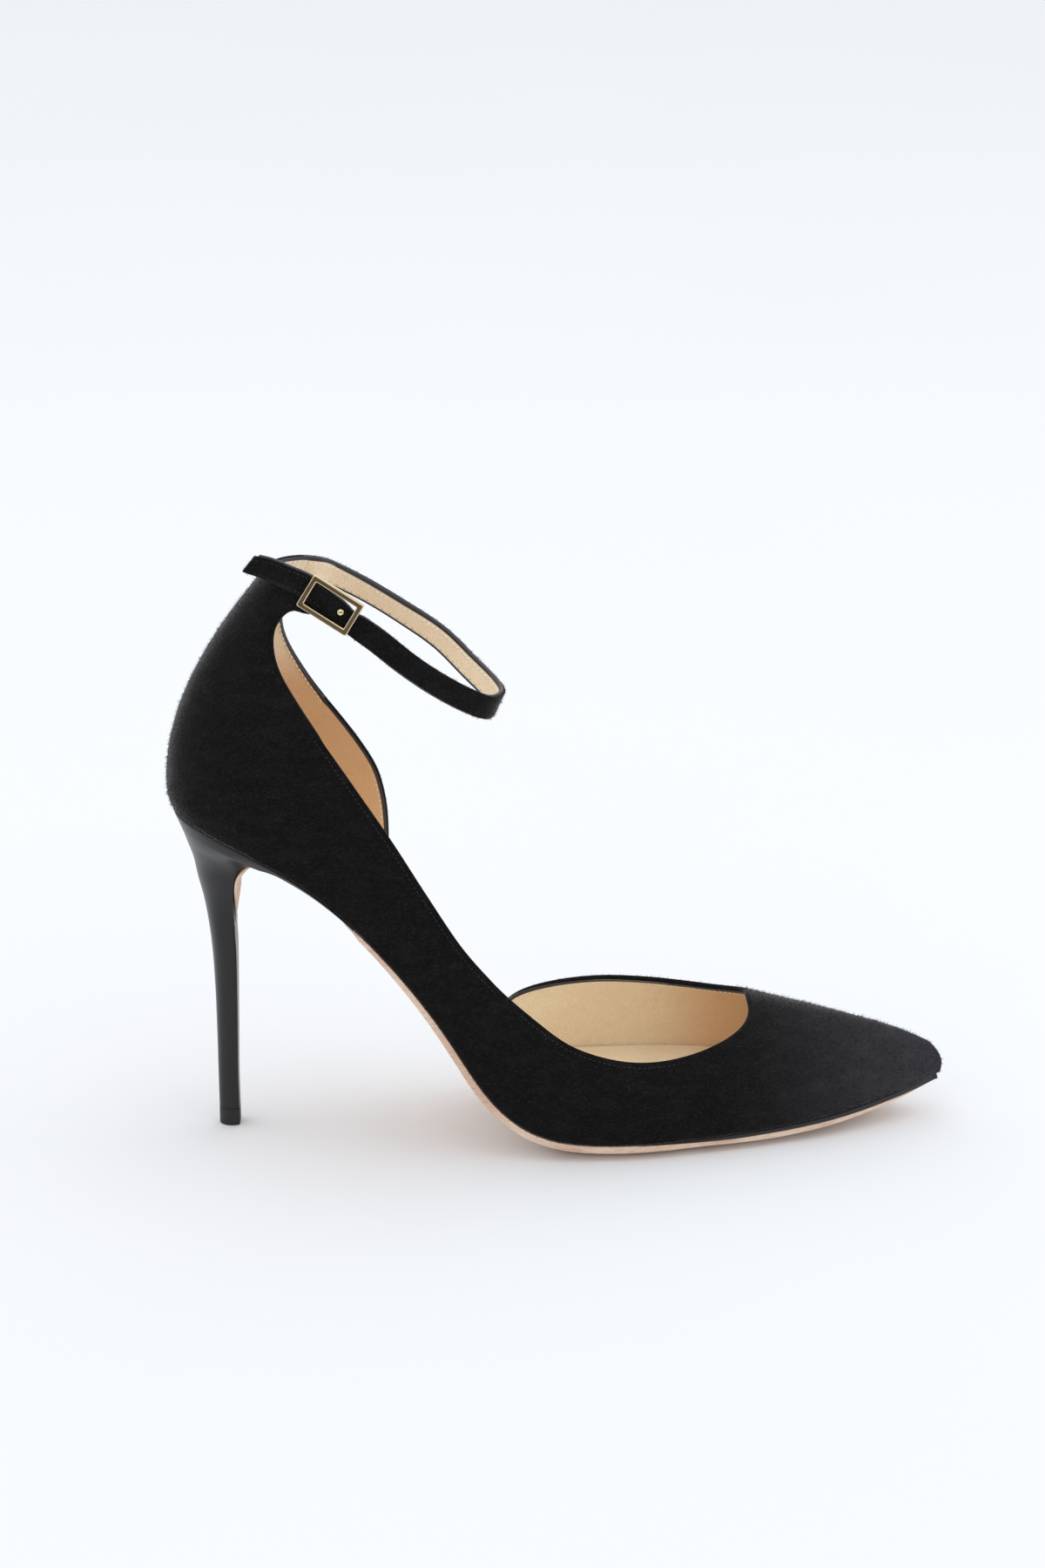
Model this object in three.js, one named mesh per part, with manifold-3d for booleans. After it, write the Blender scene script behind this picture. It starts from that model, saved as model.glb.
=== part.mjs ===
// Right shoe of a pair: pointed suede pump on a slim high heel, with an ankle strap.
// Millimetres, +X towards the toe, +Y towards the inner side of the foot, +Z up.
import * as THREE from 'three';
import { mergeVertices } from 'three/addons/utils/BufferGeometryUtils.js';
import Module from 'manifold-3d';

const wasm = await Module();
wasm.setup();

// The last: the foot shape that the whole shoe follows
const lastLength = 228;
const heelOverhang = 15.8;
const ballWidth = 66;
const seatWidth = 51;
const heelHeight = 101.6;
const toeSpring = 7.9;
const instepHeight = 48;
const quarterHeight = 82;
const noseLength = 5;
const noseRise = 0.3;
const swingEnd = 0.3;

// Walls, soles and fits
const upperWall = 1.6;
const insoleThickness = 3.6;
const ballSole = 4.9;
const soleEdge = 0.75;
const edgeBevel = 2.2;
const bevelShare = 0.62;
const flatShare = 3.5;
const featherHeight = 4.7;
const clearance = 0.3;

// Heel
const heelTipHeight = 5.4;
const heelTipLength = 6.1;
const heelTipWidth = 6.5;
const breastFlap = 1.1;
const wingDepth = 2.2;
const flatBreast = 50;

// Strap and buckle
const strapLength = 60;
const strapSpan = 46;
const strapDrop = 38;
const strapWidth = 6.9;
const strapThickness = 1.8;
const buckleLength = 16.6;
const buckleWidth = 10.6;
const buckleBar = 1.6;
const buckleThickness = 1.5;
const studDiameter = 2;
const studHeight = 0.9;
const buckleEdge = 0.3;
const buckleCorner = 0.5;
const tabWidth = 0.86;
const studShare = 0.765;
const buckleShare = 0.78;

// Steps of the meshes
const sideSteps = 10;
const heelSteps = 9;
const vampSteps = 26;
const strapSteps = 56;
const toplineSteps = 70;
const heelPoints = 11;
const wingShare = 0.3;
const pinSides = 14;
const bisections = 30;
const tabShares = [0.8, 0.77, 0.745];
const soleStart = 0.01;
const cutOverlap = 0.05;

/** Turns rows of numbers into rows with named columns. */
function table(names, rows) {
  return rows.map((row) => Object.fromEntries(names.map((name, i) => [name, row[i]])));
}

/** A smooth function through one column of a table: a natural cubic spline over another column. */
function smooth(rows, over, column) {
  const x = rows.map((row) => row[over]);
  const y = rows.map((row) => row[column]);
  const last = x.length - 1;
  const bend = new Array(x.length).fill(0);
  const carry = new Array(x.length).fill(0);
  for (let i = 1; i < last; i += 1) {
    const ahead = x[i + 1] - x[i];
    const behind = x[i] - x[i - 1];
    const turn = (y[i + 1] - y[i]) / ahead - (y[i] - y[i - 1]) / behind;
    const pivot = 2 * (ahead + behind) - behind * carry[i - 1];
    carry[i] = ahead / pivot;
    bend[i] = (6 * turn - behind * bend[i - 1]) / pivot;
  }
  for (let i = last - 1; i > 0; i -= 1) {
    bend[i] -= carry[i] * bend[i + 1];
  }
  return (at) => {
    const i = THREE.MathUtils.clamp(x.findIndex((value) => value > at) - 1, 0, last - 1);
    const k = at >= x[last] ? last - 1 : i;
    const span = x[k + 1] - x[k];
    const a = (x[k + 1] - at) / span;
    const b = 1 - a;
    const lift = ((a ** 3 - a) * bend[k] + (b ** 3 - b) * bend[k + 1]) * span * span / 6;
    return a * y[k] + b * y[k + 1] + lift;
  };
}

/** One smooth function for each column of a table. */
function smoothColumns(rows, over) {
  const columns = Object.keys(rows[0]).filter((name) => name !== over);
  return Object.fromEntries(columns.map((name) => [name, smooth(rows, over, name)]));
}

// Side view of the feather line, where the upper meets the sole.
// along: share of the last's length; lift: share of the heel's lift; spring: share of the toe spring
const profile = smoothColumns(table(['along', 'lift', 'spring'], [
  [0.000, 1.000, 0.000],
  [0.045, 0.979, 0.000],
  [0.085, 0.946, 0.000],
  [0.130, 0.896, 0.000],
  [0.180, 0.820, 0.000],
  [0.230, 0.716, 0.000],
  [0.280, 0.586, 0.000],
  [0.325, 0.451, 0.000],
  [0.365, 0.311, 0.000],
  [0.400, 0.181, 0.000],
  [0.440, 0.080, 0.000],
  [0.480, 0.029, 0.000],
  [0.530, 0.006, 0.000],
  [0.590, 0.000, 0.000],
  [0.680, 0.000, 0.013],
  [0.770, 0.000, 0.076],
  [0.850, 0.000, 0.240],
  [0.920, 0.000, 0.520],
  [0.970, 0.000, 0.800],
  [1.000, 0.000, 1.000],
]), 'along');

// Cross sections of the last, from the pivot of the heel to the toe.
// along: share of the last's length; outer, inner, lowBulge, highWidth, ridge: shares of the ball width;
// crown: share of the instep height; lowRise, highRise: shares of the crown; tilt: degrees forward
const sectionRows = table(
  ['along', 'outer', 'inner', 'crown', 'lowBulge', 'lowRise', 'highWidth', 'highRise', 'ridge', 'tilt'], [
    [0.130, 0.394, 0.380, 1.980, 0.060, 0.30, 0.285, 0.60, 0.318, 24],
    [0.190, 0.387, 0.357, 1.756, 0.053, 0.30, 0.300, 0.62, 0.270, 24],
    [0.260, 0.376, 0.326, 1.549, 0.046, 0.32, 0.317, 0.68, 0.180, 23],
    [0.330, 0.372, 0.332, 1.320, 0.045, 0.36, 0.333, 0.80, 0.090, 19],
    [0.400, 0.390, 0.385, 1.131, 0.045, 0.42, 0.334, 0.92, 0.030, 13],
    [0.470, 0.415, 0.469, 1.000, 0.045, 0.48, 0.326, 1.00, 0.000, 6],
    [0.540, 0.416, 0.542, 0.925, 0.045, 0.52, 0.319, 1.00, 0.000, 1],
    [0.610, 0.390, 0.580, 0.850, 0.043, 0.54, 0.304, 1.00, 0.000, 0],
    [0.680, 0.328, 0.571, 0.775, 0.037, 0.54, 0.267, 1.00, 0.000, 0],
    [0.755, 0.247, 0.512, 0.685, 0.030, 0.54, 0.211, 1.00, 0.000, 0],
    [0.825, 0.159, 0.432, 0.592, 0.024, 0.54, 0.160, 1.00, 0.000, 0],
    [0.895, 0.046, 0.341, 0.468, 0.018, 0.54, 0.102, 1.00, 0.000, 0],
    [0.950, -0.062, 0.261, 0.335, 0.012, 0.54, 0.058, 1.00, 0.000, 0],
    [1.000, -0.169, 0.183, 0.165, 0.004, 0.54, 0.014, 1.00, 0.000, 0],
  ]);
const section = smoothColumns(sectionRows, 'along');
const heelSection = sectionRows[0];

// The round heel's controls. reach: share of the seat's depth behind the pivot; rise: share of the crown;
// fullness: 2 is an ellipse from above, more is squarer
const backSeam = table(['reach', 'rise', 'fullness'], [
  [1.000, 0.000, 2.0],
  [1.500, 0.339, 2.1],
  [1.385, 0.657, 2.3],
  [1.010, 1.000, 2.3],
]);

const seatBack = -heelOverhang;
const toeTip = seatBack + lastLength;
const pivot = seatBack + heelSection.along * lastLength;

const alongOf = (x) => (x - seatBack) / lastLength;

/** Height of the feather line at a distance along the shoe. */
function featherZ(x) {
  const along = THREE.MathUtils.clamp(alongOf(x), 0, 1);
  const arch = profile.lift(along) * (heelHeight - featherHeight);
  return featherHeight + arch + profile.spring(along) * toeSpring;
}

/** Radius at an angle of a rounded heel with the two half axes; a higher fullness squares it. */
function heelRadius(across, back, angle, fullness) {
  const side = (Math.cos(angle) / across) ** fullness;
  const rear = (Math.sin(angle) / back) ** fullness;
  return (side + rear) ** (-1 / fullness);
}

/** Value of a cubic curve with four controls. */
function cubic(controls, share) {
  const rest = 1 - share;
  const [a, b, c, d] = controls;
  return rest ** 3 * a + 3 * rest * rest * share * b + 3 * rest * share * share * c + share ** 3 * d;
}

/** Point of a section ahead of the heel's pivot. side: -1 outer, 1 inner; up: 0 at the feather, 1 on top. */
function frontPoint(side, forward, up, inset) {
  const reach = toeTip - inset - pivot;
  const x = pivot + forward * reach;
  const along = alongOf(x);
  const blunt = Math.min(1, (1 - forward) * reach / noseLength);
  const nose = Math.sqrt(blunt * (2 - blunt));
  const outer = section.outer(along) * ballWidth;
  const inner = section.inner(along) * ballWidth;
  const swing = THREE.MathUtils.smoothstep(along, heelSection.along, swingEnd);
  const centre = (inner - outer) / 2 * swing;
  const half = (side < 0 ? outer + centre : inner - centre) * nose - inset * nose;
  const ridge = Math.max(0, section.ridge(along) * ballWidth - inset);
  const low = half + section.lowBulge(along) * ballWidth * nose;
  const high = Math.max(0, section.highWidth(along) * ballWidth * nose - inset * nose);
  const crown = section.crown(along) * instepHeight * THREE.MathUtils.lerp(noseRise, 1, nose) - inset;
  const width = cubic([half, low, high, ridge], up);
  const rise = cubic([0, section.lowRise(along) * crown, section.highRise(along) * crown, crown], up);
  const tilt = THREE.MathUtils.degToRad(section.tilt(along));
  return new THREE.Vector3(
    x + Math.sin(tilt) * rise,
    centre + side * width,
    featherZ(x) + Math.cos(tilt) * rise,
  );
}

/** Point of the heel's round part. turn: 0 beside the pivot, 1 at the back seam. */
function heelPoint(side, turn, up, inset) {
  const angle = turn * Math.PI / 2;
  const tilt = THREE.MathUtils.degToRad(heelSection.tilt);
  const rear = Math.sin(angle) ** 2;
  const across = (side < 0 ? heelSection.outer : heelSection.inner) * ballWidth;
  const sides = [
    across,
    across + heelSection.lowBulge * ballWidth,
    heelSection.highWidth * ballWidth,
    heelSection.ridge * ballWidth,
  ];
  const radii = sides.map((half, i) => {
    const { reach, fullness } = backSeam[i];
    return heelRadius(half - inset, reach * (pivot - seatBack) - inset, angle, fullness);
  });
  const seat = featherZ(pivot - radii[0] * Math.sin(angle));
  const top = featherZ(pivot) + Math.cos(tilt) * heelSection.crown * instepHeight;
  const crown = (top - seat) / Math.cos(tilt);
  const lowRise = THREE.MathUtils.lerp(heelSection.lowRise, backSeam[1].rise, rear);
  const highRise = THREE.MathUtils.lerp(heelSection.highRise, backSeam[2].rise, rear);
  const radius = cubic(radii, up);
  const rise = cubic([0, lowRise * crown, highRise * crown, crown], up);
  return new THREE.Vector3(
    pivot + Math.sin(tilt) * rise - radius * Math.sin(angle),
    side * radius * Math.cos(angle),
    seat + Math.cos(tilt) * rise,
  );
}

/** Point of the last at a station: -1 is the back seam, 0 the heel's pivot, 1 the toe's tip. */
function lastPoint(side, station, up = 0, inset = 0) {
  return station < 0 ? heelPoint(side, -station, up, inset) : frontPoint(side, station, up, inset);
}

/** Even shares from 0 to 1. */
function shares(steps) {
  return Array.from({ length: steps + 1 }, (_, i) => i / steps);
}

/** Stations from one ahead of the pivot to the toe's tip, closer together at the tip. */
function vampStations(start) {
  return shares(vampSteps).map((share) => {
    const closer = THREE.MathUtils.lerp(share, 1 - (1 - share) ** 2, share ** 3);
    return THREE.MathUtils.lerp(start, 1, closer);
  });
}

/** Station at a share of the last's length, ahead of the pivot. */
function stationAt(along) {
  return (along - heelSection.along) * lastLength / (toeTip - pivot);
}

/** Stations from the back seam to the toe's tip. */
function lastStations() {
  const heel = shares(heelSteps).slice(0, -1).map((share) => share - 1);
  return [...heel, ...vampStations(0)];
}

/** Closed solid through rings of points. A ring runs down one side and back up the other. */
function loft(rings) {
  const count = rings[0].length;
  const positions = rings.flat().flatMap((point) => [point.x, point.y, point.z]);
  const index = [];
  const half = count / 2;
  const last = (rings.length - 1) * count;
  for (let i = 0; i < rings.length - 1; i += 1) {
    for (let j = 0; j < count; j += 1) {
      const a = i * count + j;
      const b = i * count + (j + 1) % count;
      index.push(a, b, b + count, a, b + count, a + count);
    }
  }
  for (let j = 0; j < half - 1; j += 1) {
    const k = count - 1 - j;
    index.push(j, k, k - 1, j, k - 1, j + 1);
    index.push(last + j, last + k - 1, last + k, last + j, last + j + 1, last + k - 1);
  }
  const geometry = new THREE.BufferGeometry();
  geometry.setAttribute('position', new THREE.Float32BufferAttribute(positions, 3));
  geometry.setIndex(index);
  return facingOut(welded(geometry));
}

/** Turns the faces of a closed mesh outwards. */
function facingOut(geometry) {
  const { position } = geometry.attributes;
  const corner = (i) => new THREE.Vector3().fromBufferAttribute(position, i);
  const corners = Array.from(geometry.index.array, corner);
  let volume = 0;
  for (let i = 0; i < corners.length; i += 3) {
    volume += corners[i].dot(corners[i + 1].clone().cross(corners[i + 2]));
  }
  if (volume < 0) {
    geometry.index.array.reverse();
  }
  return geometry;
}

/** Copy of a closed mesh with its shared vertices merged and its empty triangles left out. */
function welded(geometry) {
  const bare = geometry.clone();
  bare.deleteAttribute('normal');
  bare.deleteAttribute('uv');
  const merged = mergeVertices(bare, 1e-3);
  const kept = [];
  for (let i = 0; i < merged.index.count; i += 3) {
    const corners = [0, 1, 2].map((k) => merged.index.getX(i + k));
    if (new Set(corners).size === 3) {
      kept.push(...corners);
    }
  }
  merged.setIndex(kept);
  return merged;
}

/** Solid of a closed mesh, for cutting. */
function solidOf(geometry) {
  const merged = welded(geometry);
  const mesh = new wasm.Mesh({
    numProp: 3,
    vertProperties: new Float32Array(merged.attributes.position.array),
    triVerts: new Uint32Array(merged.index.array),
  });
  return new wasm.Manifold(mesh);
}

/** Mesh geometry of a solid. */
function geometryOf(solid) {
  const { vertProperties, triVerts } = solid.getMesh();
  const geometry = new THREE.BufferGeometry();
  geometry.setAttribute('position', new THREE.Float32BufferAttribute(vertProperties, 3));
  geometry.setIndex(Array.from(triVerts));
  return geometry;
}

/** Solid of a side view, drawn in X and Z, between two distances across the shoe. */
function sideCutter(outline, from, to) {
  const shape = new THREE.Shape(outline.map((point) => new THREE.Vector2(point.x, point.z)));
  const geometry = new THREE.ExtrudeGeometry(shape, { depth: to - from, bevelEnabled: false });
  geometry.rotateX(Math.PI / 2);
  geometry.translate(0, to, 0);
  return solidOf(geometry);
}

/** Points along a smooth side-view line through a few points. */
function smoothLine(points, steps) {
  return new THREE.CatmullRomCurve3(points, false, 'centripetal').getPoints(steps);
}

const collarZ = featherZ(pivot) + quarterHeight;
const strapStart = seatBack + 0.165 * lastLength;

// Strap's centre line from the inner side, round the front of the ankle, to the free end on the outer side.
// ahead: share of the strap's length; out: share of its span, outer side negative; drop: share of its drop;
// lean: degrees that its top edge leans in; seated: 1 where it lies on the quarter
const strapRows = table(['ahead', 'out', 'drop', 'lean', 'seated'], [
  [0.030, 0.000, 0.120, 8, 1],
  [0.090, 0.330, 0.165, 10, 0],
  [0.160, 0.440, 0.240, 14, 0],
  [0.320, 0.515, 0.395, 18, 0],
  [0.500, 0.515, 0.565, 20, 0],
  [0.680, 0.455, 0.750, 20, 0],
  [0.840, 0.325, 0.930, 20, 0],
  [0.960, 0.150, 1.030, 22, 0],
  [0.995, -0.010, 1.055, 22, 0],
  [0.940, -0.170, 1.035, 20, 0],
  [0.840, -0.290, 0.935, 20, 0],
  [0.680, -0.400, 0.745, 20, 0],
  [0.520, -0.470, 0.530, 18, 0],
  [0.400, -0.480, 0.360, 14, 0],
  [0.310, -0.440, 0.245, 8, 1],
  [0.180, -0.400, 0.090, 5, 1],
  [0.080, -0.350, -0.010, 5, 1],
  [0.000, -0.310, -0.045, 5, 1],
  [-0.095, -0.275, -0.095, 5, 0],
  [-0.190, -0.260, -0.140, 5, 0],
]);

/** Half width of the outside of the quarter at a distance along the shoe and a height. */
function quarterHalfWidth(side, x, z) {
  const upAt = (turn) => {
    let [low, high] = [0, 1];
    for (let i = 0; i < bisections; i += 1) {
      const middle = (low + high) / 2;
      [low, high] = heelPoint(side, turn, middle, 0).z < z ? [middle, high] : [low, middle];
    }
    return low;
  };
  let [near, far] = [0, 1];
  for (let i = 0; i < bisections; i += 1) {
    const middle = (near + far) / 2;
    [near, far] = heelPoint(side, middle, upAt(middle), 0).x > x ? [middle, far] : [near, middle];
  }
  return Math.abs(heelPoint(side, near, upAt(near), 0).y);
}

/** Centre line and lean of the strap. */
function strapPath() {
  const points = strapRows.map((row, i) => {
    const x = strapStart + row.ahead * strapLength;
    const z = collarZ - row.drop * strapDrop;
    const side = i === 0 ? 1 : -1;
    const offset = side < 0 ? clearance + strapThickness / 2 : -strapThickness / 2;
    const seat = side * (quarterHalfWidth(side, x, Math.min(z, collarZ)) + offset);
    return new THREE.Vector3(x, row.seated ? seat : row.out * strapSpan, z);
  });
  return new THREE.CatmullRomCurve3(points, false, 'centripetal');
}
const strapLine = strapPath();

/** Place and directions of the strap: along it, up its width, and in towards the ankle. */
function strapFrame(share) {
  const knot = share * (strapRows.length - 1);
  const row = Math.min(Math.floor(knot), strapRows.length - 2);
  const lean = THREE.MathUtils.lerp(strapRows[row].lean, strapRows[row + 1].lean, knot - row);
  const angle = THREE.MathUtils.degToRad(lean);
  const centre = strapLine.getPoint(share);
  const along = strapLine.getTangent(share);
  const upright = new THREE.Vector3(0, 0, 1).addScaledVector(along, -along.z).normalize();
  const inward = along.clone().cross(upright);
  const up = upright.clone().multiplyScalar(Math.cos(angle)).addScaledVector(inward, Math.sin(angle));
  inward.multiplyScalar(Math.cos(angle)).addScaledVector(upright, -Math.sin(angle));
  return { centre, along, up, inward };
}

/** Solid of the strap with a width and a thickness. */
function strapSolid(width, thickness) {
  return loft(shares(strapSteps).map((share) => {
    const { centre, up, inward } = strapFrame(share);
    const corner = (rise, depth) => {
      const edge = centre.clone().addScaledVector(up, rise * width / 2);
      return edge.addScaledVector(inward, depth * thickness / 2);
    };
    return [corner(-1, -1), corner(1, -1), corner(1, 1), corner(-1, 1)];
  }));
}

// Toplines in side view. along: share of the last's length; above: height over the feather line,
// as a share of the instep height on the vamp and of the quarter's height on the quarter
const outerVamp = table(['along', 'above'], [
  [0.743, 0.686],
  [0.739, 0.656],
  [0.721, 0.600],
  [0.699, 0.554],
  [0.676, 0.520],
  [0.632, 0.504],
  [0.587, 0.520],
  [0.538, 0.574],
  [0.503, 0.636],
]);
const outerQuarter = table(['along', 'above'], [
  [0.438, 0.448],
  [0.406, 0.455],
  [0.376, 0.435],
  [0.332, 0.444],
  [0.291, 0.486],
  [0.247, 0.535],
  [0.202, 0.603],
  [0.168, 0.665],
  [0.150, 0.713],
  [0.142, 0.771],
  [0.145, 0.842],
  [0.155, 0.912],
  [0.175, 0.980],
]);
const innerVamp = table(['along', 'above'], [
  [0.743, 0.686],
  [0.739, 0.664],
  [0.725, 0.634],
  [0.702, 0.623],
  [0.666, 0.628],
  [0.613, 0.644],
  [0.552, 0.644],
  [0.495, 0.582],
  [0.457, 0.465],
  [0.438, 0.359],
  [0.425, 0.243],
  [0.411, 0.056],
  [0.400, -0.220],
]);
const innerQuarter = table(['along', 'above'], [
  [0.273, -0.100],
  [0.274, 0.036],
  [0.275, 0.307],
  [0.271, 0.397],
  [0.261, 0.464],
  [0.240, 0.498],
  [0.214, 0.524],
  [0.185, 0.558],
  [0.161, 0.616],
  [0.145, 0.677],
  [0.138, 0.738],
  [0.139, 0.808],
  [0.148, 0.884],
  [0.161, 0.941],
]);

/** Side-view points of a topline table. */
function toplinePoints(rows, measure) {
  return rows.map((row) => {
    const x = seatBack + row.along * lastLength;
    return new THREE.Vector3(x, 0, featherZ(x) + row.above * measure);
  });
}

/** Side-view point of the strap, at a share of its path and of its half width. */
function strapSidePoint(share, rise) {
  const { centre, up } = strapFrame(share);
  return centre.clone().addScaledVector(up, rise * strapWidth / 2).setY(0);
}

/** Closed side view of what is cut away over a topline that ends at the strap. */
function overTopline(vamp, quarter, end) {
  const over = collarZ + quarterHeight;
  const throat = toplinePoints(vamp, instepHeight);
  const line = smoothLine([...throat, ...toplinePoints(quarter, quarterHeight)], toplineSteps);
  return [
    new THREE.Vector3(throat[0].x, 0, over),
    ...line,
    ...end,
    new THREE.Vector3(pivot, 0, collarZ),
    new THREE.Vector3(seatBack - quarterHeight, 0, collarZ),
    new THREE.Vector3(seatBack - quarterHeight, 0, over),
  ];
}

/** The upper: a hollow wall from the feather line to its toplines, open underneath. */
function upperSolid() {
  const under = 2 * upperWall;
  const rise = shares(sideSteps);
  const outside = loft(lastStations().map((station) => [
    ...rise.map((up) => lastPoint(-1, station, up)),
    ...rise.map((up) => lastPoint(1, station, 1 - up)),
  ]));
  const inside = loft(lastStations().map((station) => {
    const side = (sign) => rise.map((up) => {
      const point = lastPoint(sign, station, up, upperWall);
      return up === 0 ? point.setZ(point.z - under) : point;
    });
    return [...side(-1), ...side(1).reverse()];
  }));
  const throat = section.inner(outerVamp[0].along) - section.outer(outerVamp[0].along);
  const middle = throat / 2 * ballWidth;
  const tab = [
    ...tabShares.map((share) => strapSidePoint(share, -tabWidth)),
    ...tabShares.map((share) => strapSidePoint(share, tabWidth)).reverse(),
  ];
  const root = [strapSidePoint(0, -1), strapSidePoint(0, 1)].map((point) => point.setX(point.x - clearance));
  const cuts = [
    solidOf(inside),
    sideCutter(overTopline(outerVamp, outerQuarter, tab), -ballWidth, middle),
    sideCutter(overTopline(innerVamp, innerQuarter, root), middle - cutOverlap, ballWidth),
    solidOf(strapSolid(strapWidth + 2 * clearance, strapThickness + 2 * clearance)),
  ];
  return cuts.reduce((upper, cut) => upper.subtract(cut), solidOf(outside));
}

/** The insole: the board and its sock, inside the upper's wall. */
function insoleGeometry() {
  const edge = upperWall + clearance;
  return loft(lastStations().map((station) => {
    const bottom = [-1, 1].map((side) => lastPoint(side, station, 0, edge));
    const lean = station < 0 ? heelSection.tilt : section.tilt(alongOf(bottom[0].x));
    const tilt = THREE.MathUtils.degToRad(lean);
    const lift = new THREE.Vector3(Math.sin(tilt), 0, Math.cos(tilt)).multiplyScalar(insoleThickness);
    const [outer, inner] = bottom;
    return [outer, outer.clone().add(lift), inner.clone().add(lift), inner];
  }));
}

// Side view of the face where sole and heel meet: down the breast and under the waist.
// along: share of the last's length; height: share of the heel height; half: share of the seat width
const breastRows = table(['along', 'height', 'half'], [
  [0.0825, 0.630, 0.010],
  [0.0825, 0.675, 0.070],
  [0.0825, 0.718, 0.135],
  [0.0830, 0.763, 0.195],
  [0.0868, 0.813, 0.265],
  [0.0970, 0.852, 0.340],
  [0.1150, 0.876, 0.410],
  [0.1390, 0.871, 0.435],
  [0.1600, 0.843, 0.440],
  [0.1820, 0.809, 0.440],
  [0.2050, 0.770, 0.440],
  [0.2250, 0.731, 0.445],
  [0.2400, 0.702, 0.455],
]);
const wingEnd = breastRows[breastRows.length - 1].along;

const breastFace = breastRows.map((row) => ({
  x: seatBack + row.along * lastLength,
  z: row.height * heelHeight,
  half: row.half * seatWidth,
}));

// Depth of the sole under the feather line. along: share of the last's length; depth: share of the ball's
const soleDepth = smooth(table(['along', 'depth'], [
  [0.200, 0.24],
  [0.270, 0.27],
  [0.330, 0.38],
  [0.390, 0.46],
  [0.450, 0.62],
  [0.510, 0.90],
  [0.570, 1.00],
  [0.660, 1.00],
  [0.760, 0.86],
  [0.880, 0.68],
  [1.000, 0.50],
]), 'along', 'depth');

/** Direction square to the feather line, away from the foot. */
function awayFromFoot(x) {
  const step = 1;
  const slope = (featherZ(x + step) - featherZ(x - step)) / (2 * step);
  return new THREE.Vector3(slope, 0, -1).normalize();
}

/** The outsole: the flap down the heel's breast, the waist, and the forefoot with its bevelled edge. */
function outsoleGeometry() {
  const flapRings = breastFace.map((row, i) => {
    const before = breastFace[Math.max(0, i - 1)];
    const after = breastFace[Math.min(breastFace.length - 1, i + 1)];
    const away = new THREE.Vector3(after.z - before.z, 0, before.x - after.x).normalize();
    const face = new THREE.Vector3(row.x, 0, row.z).addScaledVector(away, clearance);
    const at = (side, inset, depth) => {
      return face.clone().addScaledVector(away, depth).setY(side * Math.max(0, row.half - inset));
    };
    return soleRing(at, breastFlap);
  });
  const footRings = vampStations(stationAt(wingEnd + soleStart)).map((station) => {
    const at = (side, inset, depth) => {
      const edge = lastPoint(side, station, 0, inset);
      const away = awayFromFoot(edge.x);
      const point = edge.addScaledVector(away, clearance + depth);
      return point.setZ(Math.max(0, point.z));
    };
    return soleRing(at, ballSole * soleDepth(alongOf(lastPoint(1, station).x)));
  });
  return loft([...flapRings, ...footRings]);
}

/** Ring of the sole: its upper face, the step of its edge, the bevel and the flat underside. */
function soleRing(at, depth) {
  const step = Math.min(soleEdge, depth / 2);
  const bevelDepth = bevelShare * depth;
  const bevel = edgeBevel * depth / ballSole;
  const side = (sign) => [
    at(sign, 0, 0),
    at(sign, 0, step),
    at(sign, bevel, Math.max(step, bevelDepth)),
    at(sign, flatShare * bevel, depth),
  ];
  return [...side(-1), ...side(1).reverse()];
}

// Outlines of the heel below its seat.
// back: height at its back, share of the heel height; rear, front: shares of the seat width from the
// tip's axis; half: share of the seat width; slope: share of the seat's slope that the outline keeps
const heelRows = table(['back', 'rear', 'front', 'half', 'slope'], [
  [0.966, -0.262, 0.500, 0.455, 1.00],
  [0.935, -0.236, 0.330, 0.395, 0.85],
  [0.893, -0.208, 0.250, 0.325, 0.60],
  [0.845, -0.177, 0.190, 0.270, 0.30],
  [0.787, -0.155, 0.140, 0.222, 0.10],
  [0.718, -0.123, 0.100, 0.172, 0.00],
  [0.640, -0.098, 0.062, 0.137, 0.00],
  [0.551, -0.080, 0.064, 0.115, 0.00],
  [0.433, -0.069, 0.063, 0.095, 0.00],
  [0.295, -0.064, 0.060, 0.080, 0.00],
  [0.157, -0.062, 0.057, 0.070, 0.00],
]);

/** Half outline of a heel section: a flat breast and a round back. */
function heelOutline(rear, front, half, share) {
  const start = THREE.MathUtils.degToRad(flatBreast);
  const angle = THREE.MathUtils.lerp(start, Math.PI, share);
  return {
    x: rear + (front - rear) * (1 + Math.cos(angle)) / (1 + Math.cos(start)),
    y: half * Math.sin(angle),
  };
}

/** Ring of the heel column at a height. */
function columnRing(z) {
  const side = (sign) => shares(heelPoints).map((share) => {
    const { x, y } = heelOutline(-heelTipLength / 2, heelTipLength / 2, heelTipWidth / 2, share);
    return new THREE.Vector3(x, sign * y, z);
  });
  return [...side(-1), ...side(1).reverse()];
}

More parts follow.
